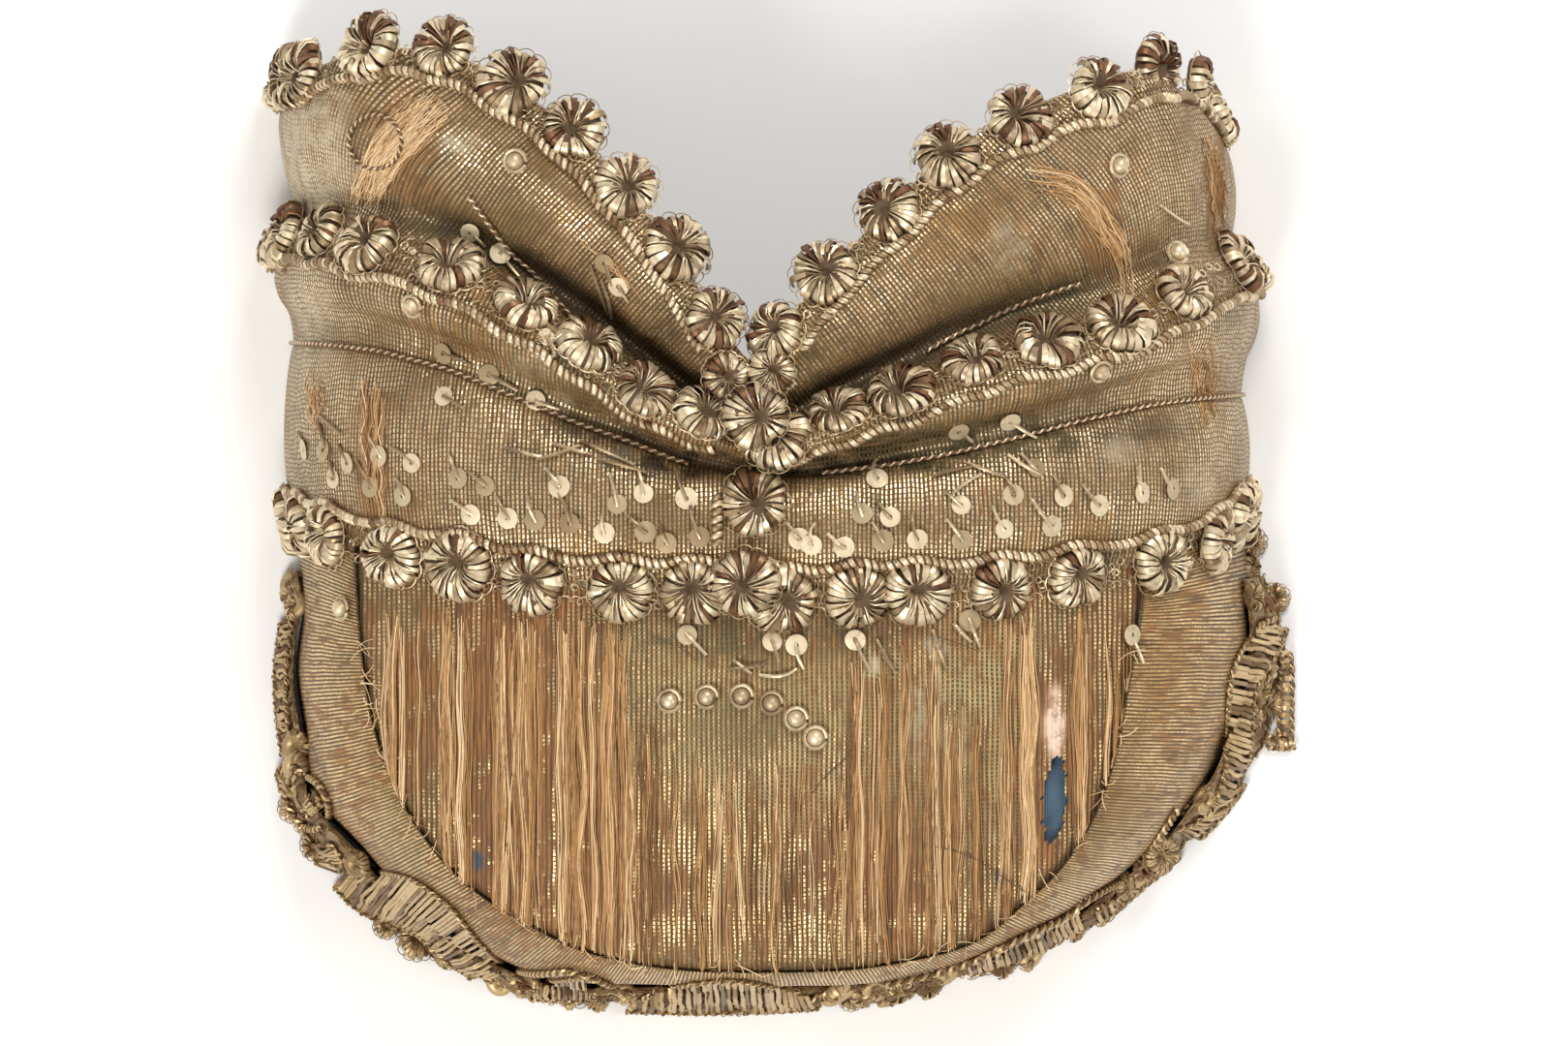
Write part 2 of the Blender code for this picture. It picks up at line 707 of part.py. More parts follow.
def bounds(pieces):
    """The lowest and highest corners of all pieces together."""
    bpy.context.view_layer.update()
    graph = bpy.context.evaluated_depsgraph_get()
    corners = []
    for piece in pieces:
        shown = piece.evaluated_get(graph)
        corners += [piece.matrix_world @ vertex.co for vertex in shown.to_mesh().vertices]
        shown.to_mesh_clear()
    low = Vector(min(corner[i] for corner in corners) for i in range(3))
    high = Vector(max(corner[i] for corner in corners) for i in range(3))
    return low, high


def build():
    """All pieces of the bonnet."""
    cloth = look("worn metal-striped cloth", (0.42, 0.30, 0.15), 0.45, 0.55)
    silk = look("loose silk of the panel", (0.55, 0.33, 0.15), 0.6, 0.2)
    blue = look("blue cloth", (0.06, 0.12, 0.20), 0.8, 0.0)
    metal = look("gilt lace", (0.66, 0.55, 0.36), 0.35, 0.9)
    dull = look("dull gilt lace", (0.34, 0.28, 0.20), 0.5, 0.8)

    tiers = [
        tier("lower_tier", -1, 1, "lower", "groove", lower_lift, 32, 5, cloth),
        tier("middle_tier_left", -1, -KNOT_GAP, "groove", "middle", middle_lift, 15, 7, cloth),
        tier("middle_tier_right", KNOT_GAP, 1, "groove", "middle", middle_lift, 15, 7, cloth),
        tier("upper_tier_left", -1, -KNOT_GAP, "middle", "upper", upper_lift, 15, 9, cloth),
        tier("upper_tier_right", KNOT_GAP, 1, "middle", "upper", upper_lift, 15, 9, cloth),
    ]
    for piece in (*tiers, back_panel(silk), side_band(cloth)):
        ground(piece)
    tear_patch(blue)
    laces = [
        lace("lower_lace", -LEG_END, LEG_END, "lower", metal),
        lace("middle_lace_left", -LEG_END, MIDDLE_LACE_STARTS[0], "middle", metal),
        lace("middle_lace_right", MIDDLE_LACE_STARTS[1], LEG_END, "middle", metal),
        lace("upper_lace_left", -LEG_END, UPPER_LACE_STARTS[0], "upper", metal),
        lace("upper_lace_right", UPPER_LACE_STARTS[1], LEG_END, "upper", metal),
    ]
    rim_lace(dull)
    groove_cord("seam_cord_left", -LEG_END, SEAM_CORD_STARTS[0], metal)
    groove_cord("seam_cord_right", SEAM_CORD_STARTS[1], LEG_END, metal)
    for name, (upper, lower) in WING_CORDS.items():
        stop = (edge(lower, "middle") + LACE_WIDTH) / TIERS_LENGTH
        line_cord(name, (upper, Spot(lower, stop)), 12, CORD_DIAMETER, metal)
    line_cord("knot_gimp", GIMP_SPOTS, 5, GIMP_DIAMETER, metal)
    for piece in laces:
        ground(piece)
    for number, row in enumerate(KNOT, 1):
        ground(knot_rosette(number, row, metal))
    for number, spot in enumerate(STUD_SPOTS, 1):
        stud(number, spot, metal)


for old in list(bpy.data.objects):
    bpy.data.objects.remove(old)
PIECES = bpy.data.collections.new("bonnet")
CUTTERS = bpy.data.collections.new("cutters")
bpy.context.scene.collection.children.link(PIECES)
bpy.context.scene.collection.children.link(CUTTERS)
FRAME = bpy.data.objects.new("bonnet_frame", None)
PIECES.objects.link(FRAME)
ARCH_WAYS = arch_lengths()
GROUND = []
build()
low, high = bounds([piece for piece in PIECES.objects if piece.type in {"MESH", "CURVE"}])
FRAME.location = (-(low.x + high.x) / 2, -(low.y + high.y) / 2, -low.z)
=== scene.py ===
"""The looks of a stiff bonnet of padded metal-striped cloth, dressed over its solids.

The work is laid out as the solids are: x to the right, y towards the wings, z up, in metres, from the point
of the floor under the middle of the lower lace. Each finished mesh is then moved to where the solids stand.
"""

from collections import namedtuple
from math import cos, pi, radians, sin, tau

import bpy
import numpy as np
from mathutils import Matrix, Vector
from mathutils.bvhtree import BVHTree


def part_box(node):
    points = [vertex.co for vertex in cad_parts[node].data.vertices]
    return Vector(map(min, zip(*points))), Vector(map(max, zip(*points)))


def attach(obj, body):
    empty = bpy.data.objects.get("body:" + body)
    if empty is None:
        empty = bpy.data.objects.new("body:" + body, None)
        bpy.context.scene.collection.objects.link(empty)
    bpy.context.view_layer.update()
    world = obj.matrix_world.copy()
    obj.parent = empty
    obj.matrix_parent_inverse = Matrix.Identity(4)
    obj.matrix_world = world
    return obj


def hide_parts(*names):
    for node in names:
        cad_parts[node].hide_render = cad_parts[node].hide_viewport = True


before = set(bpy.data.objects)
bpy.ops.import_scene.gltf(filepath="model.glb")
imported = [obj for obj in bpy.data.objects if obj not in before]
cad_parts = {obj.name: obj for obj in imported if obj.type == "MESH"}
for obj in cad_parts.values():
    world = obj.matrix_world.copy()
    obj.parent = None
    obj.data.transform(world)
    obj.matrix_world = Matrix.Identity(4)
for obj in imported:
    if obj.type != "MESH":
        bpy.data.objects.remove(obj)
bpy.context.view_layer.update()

# Main sizes of the bonnet
HALF_WIDTH_LEFT = 0.0910
HALF_WIDTH_RIGHT = 0.0963
ARCH_HEIGHT = 0.0700
PANEL_LENGTH = 0.0743
TIERS_LENGTH = 0.1045
ARCH_FULLNESS = 2.7
WING_LEAN = 0.08
LEAN_STARTS = 0.55
WALL = 0.0022
CLEARANCE = 0.0004
LOWER_PUFF = 0.0045
MIDDLE_ROLL = 0.0090
VALLEY_DEPTH = 0.0060
UPPER_ROLL = 0.0070
GATHER_DEPTH = 0.0010
GATHERS = 3
GATHER_FADES = 0.35
SIDE_FLATNESS = 0.6
KNOT_REACH = 0.12
KNOT_PINCH = 0.5
PANEL_DROP = 0.22
BAND_FULLNESS = 1.35
BAND_END_FULLNESS = 1.68
BAND_PUFF = 0.0028
TEAR_WIDTH = 0.0046
TEAR_LENGTH = 0.0165
TEAR_SLANT = 0.07
PATCH_THICKNESS = 0.0008
PATCH_MARGIN = 0.0015
RIM_LACE_DEPTH = 0.0062
RIM_LACE_RISE = 0.0180
RIM_LACE_RUFFLES = 17
RIM_LACE_START = 0.035
STUD_DIAMETER = 0.0046
STUD_HEIGHT = 0.0022


def table(row, rows):
    """Rows of values with the names of their columns."""
    return [row(*values) for values in rows]


# Edges of the tiers: across as a share of the half width, left negative, the others as shares of TIERS_LENGTH
Edge = namedtuple("Edge", "across lower groove middle upper")
EDGES = table(Edge, (
    (-1.00, 0.140, 0.469, 0.671, 0.967), (-0.92, 0.111, 0.464, 0.676, 0.989),
    (-0.80, 0.076, 0.451, 0.653, 1.022), (-0.65, 0.053, 0.415, 0.611, 1.016),
    (-0.51, 0.025, 0.364, 0.549, 0.949), (-0.38, 0.013, 0.316, 0.476, 0.864),
    (-0.27, 0.007, 0.282, 0.413, 0.755), (-0.16, 0.004, 0.244, 0.353, 0.636),
    (-0.08, 0.000, 0.227, 0.320, 0.511), (0.00, 0.000, 0.213, 0.292, 0.420),
    (0.05, -0.006, 0.215, 0.290, 0.485), (0.14, -0.005, 0.222, 0.325, 0.591),
    (0.27, -0.002, 0.236, 0.364, 0.711), (0.39, 0.004, 0.256, 0.407, 0.811),
    (0.53, 0.013, 0.287, 0.455, 0.885), (0.68, 0.035, 0.324, 0.489, 0.936),
    (0.81, 0.058, 0.351, 0.545, 0.980), (0.90, 0.091, 0.362, 0.591, 0.958),
    (1.00, 0.158, 0.371, 0.622, 0.895),
))
EDGE_EASE = 0.02
EASE_STEPS = 5

# Sections of the side band, from left to right, as shares of the half width and of PANEL_LENGTH
Section = namedtuple("Section", "seam_across seam_down rim_across rim_down depth rise")
BAND = table(Section, (
    (-0.858, -0.120, -1.000, -0.200, 0.4, 0.5), (-0.850, 0.075, -0.982, 0.030, 0.5, 0.6),
    (-0.839, 0.200, -0.995, 0.200, 0.5, 0.6), (-0.822, 0.330, -0.980, 0.361, 0.6, 0.7),
    (-0.785, 0.470, -0.964, 0.534, 0.8, 0.8), (-0.728, 0.610, -0.856, 0.684, 1.0, 1.0),
    (-0.628, 0.757, -0.742, 0.833, 1.0, 1.0), (-0.498, 0.865, -0.601, 0.951, 1.0, 1.0),
    (-0.351, 0.950, -0.413, 1.036, 0.8, 0.7), (-0.163, 0.993, -0.175, 1.028, 1.0, 0.7),
    (0.043, 1.000, 0.047, 1.025, 1.0, 0.7), (0.240, 0.987, 0.258, 1.021, 0.8, 0.6),
    (0.438, 0.928, 0.483, 0.957, 0.8, 0.6), (0.556, 0.813, 0.640, 0.863, 0.8, 0.7),
    (0.635, 0.710, 0.774, 0.738, 0.8, 0.8), (0.694, 0.583, 0.879, 0.602, 1.0, 0.9),
    (0.734, 0.430, 0.967, 0.440, 1.0, 1.0), (0.763, 0.225, 1.022, 0.225, 1.0, 1.0),
    (0.783, 0.070, 1.026, 0.060, 1.0, 1.0), (0.793, -0.075, 1.000, -0.225, 0.9, 0.9),
))

# Folds across the middle tier and across a wing, as in the solids
Fold = namedtuple("Fold", "along lift")
MIDDLE_FOLD = table(Fold, (
    (0.00, 0.00), (0.15, 0.08), (0.30, 0.24), (0.42, 0.72), (0.58, 1.00), (0.78, 0.95), (1.00, 0.60),
))
Wing = namedtuple("Wing", "along edge hollow roll")
WING_FOLD = table(Wing, (
    (0.00, 0.60, 0.00, 0.00), (0.08, 0.25, 0.70, 0.00), (0.18, 0.00, 1.00, 0.10),
    (0.32, 0.00, 0.45, 0.45), (0.50, 0.00, 0.00, 0.85), (0.70, 0.00, 0.00, 1.00),
    (0.88, 0.00, 0.00, 0.85), (1.00, 0.00, 0.00, 0.50),
))
Hollow = namedtuple("Hollow", "across depth")
HOLLOWS = table(Hollow, (
    (-1.00, 0.10), (-0.80, 0.25), (-0.55, 1.00), (-0.25, 1.00), (0.00, 0.40), (0.25, 1.00), (0.55, 0.90),
    (0.85, 0.30), (1.00, 0.10),
))
FOLD_EASE = 0.04

# The photograph: one pixel at the bonnet, and the pixel over the origin
PIXEL = 0.00019
MIDDLE_COLUMN = 778
SEAM_ROW = 612

# Rosettes of the laces, in pixels of the photograph
LOWER_ROSETTES = (
    (344, 552), (411, 573), (479, 583), (552, 601), (643, 608), (718, 609), (807, 617), (884, 614),
    (945, 611), (1030, 606), (1107, 595), (1191, 580), (1251, 557),
)
MIDDLE_LEFT_ROSETTES = (
    (724, 430), (668, 406), (610, 360), (548, 318), (474, 277), (395, 255), (345, 240), (309, 244),
)
MIDDLE_RIGHT_ROSETTES = (
    (803, 454), (865, 428), (929, 408), (1000, 376), (1073, 356), (1143, 338), (1207, 303), (1269, 273),
)
UPPER_LEFT_ROSETTES = (
    (739, 331), (699, 260), (649, 195), (597, 135), (535, 89), (467, 52), (395, 50), (326, 76),
)
UPPER_RIGHT_ROSETTES = (
    (802, 345), (851, 285), (915, 220), (974, 164), (1045, 124), (1122, 96), (1191, 69), (1236, 87),
)
# Sequins, in pixels of the photograph, and the heading of their stitches in degrees
SEQUINS = (
    (118, (
        (475, 494), (503, 502), (488, 531), (526, 535), (554, 537), (590, 540), (579, 503), (638, 521),
        (665, 510), (625, 550), (667, 549), (709, 515), (689, 560), (723, 554), (427, 478), (393, 471),
        (360, 478), (345, 494), (384, 503), (418, 512), (314, 464), (335, 465), (825, 556), (838, 562),
        (871, 565), (890, 531), (918, 534), (911, 558), (946, 556), (991, 522), (992, 557), (1035, 546),
        (1084, 543), (1045, 511), (1096, 512), (1133, 522), (1177, 509), (1209, 505), (1068, 484), (905, 495),
    )),
    (-35, (
        (460, 365), (507, 387), (555, 414), (460, 410), (1041, 434), (988, 444), (488, 239), (518, 265),
    )),
    (-82, (
        (626, 273), (640, 297), (610, 302),
    )),
    (-65, (
        (710, 655), (797, 662), (822, 665), (883, 660), (1000, 640), (1165, 655),
    )),
)
# Stitches of bullion that hold nothing now
STITCHES = (
    ((522, 462), (560, 472)), ((556, 474), (600, 460)), ((572, 458), (612, 470)), ((600, 455), (655, 480)),
    ((618, 474), (668, 488)), ((962, 492), (1002, 482)), ((998, 478), (1036, 492)),
    ((1040, 470), (1072, 490)), ((985, 508), (1012, 490)), ((752, 690), (790, 684)), ((784, 696), (822, 690)),
    ((758, 681), (776, 695)), ((1197, 212), (1228, 232)), ((962, 650), (976, 690)), ((984, 644), (1002, 662)),
    ((560, 330), (585, 352)), ((330, 430), (352, 448)), ((610, 275), (628, 325)), ((622, 290), (632, 330)),
    ((905, 660), (925, 694)),
)

# Zones of wear and stain, and zones of painted shade and painted light, in pixels of the photograph: the
# middle, the full width and height, the strength
Zone = namedtuple("Zone", "x y wide tall strength")


def zones(*rows):
    return table(Zone, rows)


NETS = zones(
    (908, 686, 44, 40, 1.0), (960, 712, 60, 70, 0.9), (1010, 704, 60, 60, 0.9), (1052, 660, 60, 50, 0.6),
    (700, 662, 150, 40, 0.6), (780, 905, 60, 50, 0.7), (836, 640, 160, 34, 0.5), (960, 800, 60, 60, 0.5),
    (700, 820, 60, 50, 0.4), (1010, 860, 50, 60, 0.5), (800, 760, 330, 190, 0.55), (1000, 760, 120, 260, 0.6),
)
# Pale blooms on the metal; the last two zones, over the left wing's flank, are painted light from the left.
BLOOMS_AND_LIGHT_ZONES = zones(
    (955, 745, 40, 90, 0.22), (908, 686, 20, 20, 0.5), (965, 668, 24, 20, 0.4), (330, 104, 60, 30, 0.55),
    (1040, 258, 36, 50, 0.32), (475, 150, 40, 20, 0.4), (548, 378, 36, 30, 0.30), (1155, 466, 36, 26, 0.35),
    (575, 415, 30, 20, 0.35), (985, 770, 30, 60, 0.15), (640, 470, 40, 20, 0.25), (1240, 500, 30, 40, 0.25),
    (318, 165, 80, 180, 0.52), (318, 340, 46, 130, 0.26),
)
GREENS = zones(
    (770, 720, 300, 130, 0.55), (960, 800, 150, 160, 0.55), (690, 760, 120, 130, 0.4),
    (1010, 720, 110, 120, 0.4), (490, 235, 130, 60, 0.5), (560, 400, 220, 70, 0.45), (700, 250, 60, 130, 0.3),
    (990, 455, 200, 60, 0.5), (760, 985, 330, 26, 0.7), (410, 850, 50, 130, 0.4), (1060, 300, 160, 60, 0.35),
    (840, 390, 60, 70, 0.4),
)
# Painted shade in the recesses under the rolls, near the knot and under the lower lace, with stain there too.
SHADE_AND_STAIN_ZONES = zones(
    (770, 655, 330, 46, 0.55), (690, 478, 130, 34, 0.9), (860, 482, 130, 24, 0.9), (600, 360, 80, 30, 0.3),
    (770, 745, 120, 40, 0.3), (700, 340, 70, 60, 0.4), (860, 375, 60, 60, 0.4), (410, 560, 60, 30, 0.3),
    (640, 456, 70, 24, 0.8), (590, 442, 70, 20, 0.6), (960, 466, 170, 44, 0.9), (1060, 450, 150, 44, 0.75),
    (1150, 440, 140, 40, 0.5),
)
WORN = zones(
    (522, 800, 90, 330, 1.0), (622, 820, 46, 330, 1.0), (920, 830, 60, 300, 0.8), (1062, 770, 30, 260, 1.0),
    (1115, 770, 26, 220, 1.0), (430, 740, 60, 160, 0.5), (415, 160, 60, 120, 0.8), (386, 470, 30, 150, 0.8),
    (1140, 240, 50, 110, 0.6), (840, 880, 40, 160, 0.5), (1256, 190, 30, 120, 0.6),
)
BLUES = zones(
    (494, 888, 9, 20, 1.0), (536, 920, 12, 22, 1.0), (1057, 860, 8, 22, 1.0), (1033, 905, 8, 20, 1.0),
)
PINKS = zones((1089, 746, 20, 66, 1.0))
WEAR_SHADE_AND_LIGHT = {
    "nets": NETS, "blooms": BLOOMS_AND_LIGHT_ZONES, "greens": GREENS, "darks": SHADE_AND_STAIN_ZONES, "worn": WORN, "blues": BLUES,
    "pinks": PINKS,
}

ROSETTE_RADIUS = 0.0064
ROSETTE_HEIGHT = 0.0030
PETALS = 26
COPPER_SHARE = 0.26
STRIP_THICKNESS = 0.00018
LACE_PITCH = 0.0145
LINE_STEP = 0.0011
GIMP_RADIUS = 0.00105
GIMP_PITCH = 0.00150
WIRE = 0.00013
WIRE_WAVE = 0.0003
FRILL_LIFT = 0.0004
SEQUIN_RADIUS = 0.0021
SEQUIN_THICKNESS = 0.0001
STITCH_RADIUS = 0.00042
RECESS_DEPTH = 0.0016
CREASE_DEPTH = 0.0011
CREASE_WIDTH = 0.0012
SEAM_ROLL = 0.0010
SIGHT = 0.02
LEAN_FADES = 0.6
LEAN_LOST = 0.8
LEAN_CENTRE = 0.8
CRINKLE = 0.00035
BAND_THREADS = 0.055
CRISP_ANGLE = radians(50)


# Numbers and shapes

def unit(ways):
    """Directions of length one."""
    return ways / np.maximum(np.linalg.norm(ways, axis=-1, keepdims=True), 1e-12)


def smooth(share):
    """0 up to 0, 1 from 1 on, soft between."""
    share = np.clip(share, 0.0, 1.0)
    return share * share * (3 - 2 * share)


def length_along(points):
    """The way along a line from its first point to each of its points."""
    return np.concatenate(([0.0], np.cumsum(np.linalg.norm(np.diff(points, axis=0), axis=1))))


def smooth_rows(values, width):
    """Averages each column over this many rows, in place. The rows at both ends stay."""
    half = width // 2
    for column in values.reshape(len(values), -1).T:
        column[half:-half] = np.convolve(column, np.ones(width) / width, "valid")


def read(rows, key, column, at, ease=0.0):
    """A column of a table at places between its rows, eased over the corners."""
    places = [getattr(row, key) for row in rows]
    values = [getattr(row, column) for row in rows]
    steps = np.linspace(-ease, ease, EASE_STEPS)
    return np.mean([np.interp(np.asarray(at) + step, places, values) for step in steps], axis=0)


def edge(across, column):
    return TIERS_LENGTH * read(EDGES, "across", column, across, EDGE_EASE)


def side_width(across):
    return np.where(np.asarray(across) < 0, HALF_WIDTH_LEFT, HALF_WIDTH_RIGHT)


def half_width(across, y):
    lean = smooth((np.asarray(y) / TIERS_LENGTH - LEAN_STARTS) / (1 - LEAN_STARTS))
    return np.where(np.asarray(across) < 0, HALF_WIDTH_LEFT, HALF_WIDTH_RIGHT * (1 - WING_LEAN * lean))


def arch_shares(turn):
    """Across and up, as shares, at turns from -1 at the left floor to 1 at the right floor."""
    power = 2 / ARCH_FULLNESS
    across = np.sign(turn) * np.abs(np.sin(turn * pi / 2)) ** power
    up = np.maximum(np.cos(turn * pi / 2), 0.0) ** power
    return across, np.where(np.abs(turn) < 1, up, 0.0)


def turn_at(across):
    across = np.asarray(across, float)
    return np.sign(across) * np.arcsin(np.minimum(np.abs(across), 1.0) ** (ARCH_FULLNESS / 2)) * 2 / pi


def on_arch(turn, y, lift):
    """Points of the arch, raised by lift along its outward direction."""
    turn, y, lift = np.broadcast_arrays(np.asarray(turn, float), y, lift)
    across, up = arch_shares(turn)
    width = half_width(across, y)
    lean = np.sign(across) * np.abs(across) ** (ARCH_FULLNESS - 1) / width
    out = unit(np.stack([lean, np.zeros_like(lean), up ** (ARCH_FULLNESS - 1) / ARCH_HEIGHT], axis=-1))
    return np.stack([across * width, y, up * ARCH_HEIGHT], axis=-1) + out * lift[..., None]


TURNS = np.linspace(-1, 1, 2001)
ARCH_LINE = on_arch(TURNS, 0.0, 0.0)
WAYS = length_along(ARCH_LINE)
WAYS -= WAYS[len(TURNS) // 2]


def way_of(turn):
    """The way along the arch from its top, negative to the left."""
    return np.interp(turn, TURNS, WAYS)


def turn_of(way):
    return np.interp(way, WAYS, TURNS)


def edge_at(way, column):
    """An edge of the tiers over a place of the way along the arch."""
    return float(edge(arch_shares(turn_of(way))[0], column))


def flatter(across):
    side = 1 - SIDE_FLATNESS * across**4
    knot = 1 - KNOT_PINCH * (1 - smooth(np.abs(across) / KNOT_REACH))
    return side * knot


def lower_lift(across, along):
    return LOWER_PUFF * np.sin(pi * np.clip(along, 0, 1)) ** 0.7 * (1 - SIDE_FLATNESS * across**4)


def middle_lift(across, along):
    roll = MIDDLE_ROLL * read(MIDDLE_FOLD, "along", "lift", along, FOLD_EASE) * flatter(across)
    recess = np.sin(pi * np.clip(along / 0.36, 0, 1)) * (1 - smooth((np.abs(across) - 0.25) / 0.5))
    return roll - RECESS_DEPTH * recess


def upper_lift(across, along):
    ends = np.sin(pi * np.clip(along, 0, 1))
    folded = MIDDLE_ROLL * read(WING_FOLD, "along", "edge", along, FOLD_EASE)
    roll = UPPER_ROLL * read(WING_FOLD, "along", "roll", along, FOLD_EASE)
    depth = read(HOLLOWS, "across", "depth", across, 2 * FOLD_EASE)
    hollow = VALLEY_DEPTH * read(WING_FOLD, "along", "hollow", along, FOLD_EASE) * depth
    gathers = GATHER_DEPTH * np.cos(tau * GATHERS * along) * np.exp(-np.abs(across) / GATHER_FADES)
    return (folded + roll) * flatter(across) - hollow + gathers * ends


def panel_height(x, y):
    """Height of the back panel: the arch, dropping towards the bottom of the U."""
    width = np.where(np.asarray(x) < 0, HALF_WIDTH_LEFT, HALF_WIDTH_RIGHT)
    share = np.minimum(np.abs(x) / width, 1.0)
    arch = ARCH_HEIGHT * (1 - share**ARCH_FULLNESS) ** (1 / ARCH_FULLNESS)
    down = np.maximum(-np.asarray(y), 0.0) / PANEL_LENGTH
    return arch * (1 - PANEL_DROP * down * down)


def band_value(place, column):
    """A column of the band's table, on a smooth curve. Places go from 0 at its left end to 1 at its right."""
    values = np.array([getattr(row, column) for row in BAND])
    last = len(values) - 1
    at = np.clip(place, 0, 1) * last
    i = np.minimum(at.astype(int), last - 1)
    t = at - i
    before, here = values[np.maximum(i - 1, 0)], values[i]
    there, after = values[i + 1], values[np.minimum(i + 2, last)]
    slope_here, slope_there = (there - before) / 2, (after - here) / 2
    return (
        (2 * t**3 - 3 * t**2 + 1) * here
        + (t**3 - 2 * t**2 + t) * slope_here
        + (3 * t**2 - 2 * t**3) * there
        + (t**3 - t**2) * slope_there
    )


def band_section(place):
    """Seam points and rim points of the side band, in plan."""
    place = np.asarray(place, float)
    seam_across, rim_across = band_value(place, "seam_across"), band_value(place, "rim_across")
    seam_y = np.minimum(-band_value(place, "seam_down") * PANEL_LENGTH, edge(seam_across, "lower"))
    seam = np.stack([seam_across * side_width(seam_across), seam_y], axis=-1)
    rim_y = -band_value(place, "rim_down") * PANEL_LENGTH
    rim = np.stack([rim_across * side_width(rim_across), rim_y], axis=-1)
    return seam, rim


def band_ends(place):
    return smooth(6 * np.asarray(place)) * smooth(6 * (1 - np.asarray(place)))


def band_point(place, angle, wall):
    """Points of the side band, at angles from 0 at the floor to a quarter turn at the seam."""
    place, angle = np.broadcast_arrays(np.asarray(place, float), angle)
    seam, rim = band_section(place)
    away = rim - seam
    length = np.linalg.norm(away, axis=-1)
    power = 2 / (BAND_END_FULLNESS + (BAND_FULLNESS - BAND_END_FULLNESS) * band_ends(place))
    run = (length - wall) * np.maximum(np.cos(angle), 0.0) ** power
    rise = (panel_height(seam[..., 0], seam[..., 1]) - wall) * np.maximum(np.sin(angle), 0.0) ** power
    puff = np.where(wall > 0, 0.0, BAND_PUFF * np.sin(2 * angle) ** 2 * band_ends(place))
    flat = seam + unit(away) * (run + puff * np.sin(angle))[..., None]
    across = flat[..., 0] / side_width(flat[..., 0])
    y = np.minimum(flat[..., 1], edge(across, "lower"))
    return np.stack([flat[..., 0], y, rise + puff * np.cos(angle)], axis=-1)


def waves(across, along, wide, long, seed, count=7):
    """A soft uneven surface between about -1 and 1: a sum of seeded waves of about these lengths."""
    rng = np.random.default_rng(seed)
    total = np.zeros(np.broadcast(across, along).shape)
    for _ in range(count):
        turn, start = rng.uniform(0, tau, 2)
        scale = tau * rng.uniform(0.6, 1.6)
        total += np.sin(scale * (across * cos(turn) / wide + along * sin(turn) / long) + start)
    return total / count**0.5 / 1.4


def plan(spot):
    """Where a pixel of the photograph lies in plan."""
    return (spot[0] - MIDDLE_COLUMN) * PIXEL, (SEAM_ROW - spot[1]) * PIXEL


# Where the solids stand: the patch under the tear is centred on its spot
TEAR_SPOT = (0.612, -0.545)
patch_low, patch_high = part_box("tear_patch")
SHIFT = Vector((
    (patch_low.x + patch_high.x) / 2 - TEAR_SPOT[0] * HALF_WIDTH_RIGHT,
    (patch_low.y + patch_high.y) / 2 - TEAR_SPOT[1] * PANEL_LENGTH,
    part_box("back_panel")[1].z - ARCH_HEIGHT,
))


# Meshes

def new_piece(name, corners, faces, material, nodes, tones, uvs=None, marks=()):
    """A finished mesh, moved to the solids, riding on the bonnet and standing for its nodes."""
    mesh = bpy.data.meshes.new(name)
    mesh.from_pydata(np.asarray(corners) + np.array(SHIFT), [], faces)
    mesh.materials.append(material)
    mesh.polygons.foreach_set("use_smooth", np.ones(len(mesh.polygons), bool))
    for mark, values in {"tone": tones, **dict(marks)}.items():
        mesh.attributes.new(mark, "FLOAT", "POINT").data.foreach_set("value", np.asarray(values, np.float32))
    if uvs is not None:
        layer = mesh.uv_layers.new(name="threads")
        loops = np.empty(len(mesh.loops), int)
        mesh.loops.foreach_get("vertex_index", loops)
        layer.data.foreach_set("uv", np.asarray(uvs, np.float32)[loops].ravel())
    mesh.update()
    mesh.set_sharp_from_angle(angle=CRISP_ANGLE)
    piece = bpy.data.objects.new(name, mesh)
    bpy.context.scene.collection.objects.link(piece)
    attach(piece, "root")
    if nodes:
        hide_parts(*nodes)
    return piece


class Batch:
    """Gathers many small shapes for one mesh, each with its tone."""

    def __init__(self):
        self.corners, self.faces, self.tones, self.count = [], [], [], 0

    def add(self, corners, faces, tone):
        self.corners.append(np.asarray(corners))
        self.faces += [tuple(corner + self.count for corner in face) for face in faces]
        self.tones.append(np.broadcast_to(tone, len(corners)))
        self.count += len(corners)

    def piece(self, name, material, slot, nodes=()):
        tones = np.concatenate(self.tones)
        return new_piece(name, np.concatenate(self.corners), self.faces, material, nodes, tones)


def ring_faces(rings, sides, looped=False):
    """Faces between rings of corners, closed into a loop or capped at both ends."""
    number = np.arange(rings * sides).reshape(rings, sides)
    rows = np.vstack([number, number[:1]]) if looped else number
    here, there = rows[:-1], rows[1:]
    quads = np.stack([here, there, np.roll(there, -1, 1), np.roll(here, -1, 1)], axis=-1).reshape(-1, 4)
    faces = quads.tolist()
    if not looped:
        faces += [number[0].tolist(), number[-1, ::-1].tolist()]
    return [tuple(face) for face in faces]


def circle(angles, radius, height=0.0):
    """Points round the origin, lying flat."""
    return np.column_stack([radius * np.cos(angles), radius * np.sin(angles), height + 0 * angles])


def lathe(profile, radius, height, sides, looped=False):
    """A round form. profile gives its rings as shares of the radius and the height."""
    angles = tau * np.arange(sides) / sides
    corners = np.concatenate([circle(angles, radius * share, height * rise) for share, rise in profile])
    return corners, ring_faces(len(profile), sides, looped)


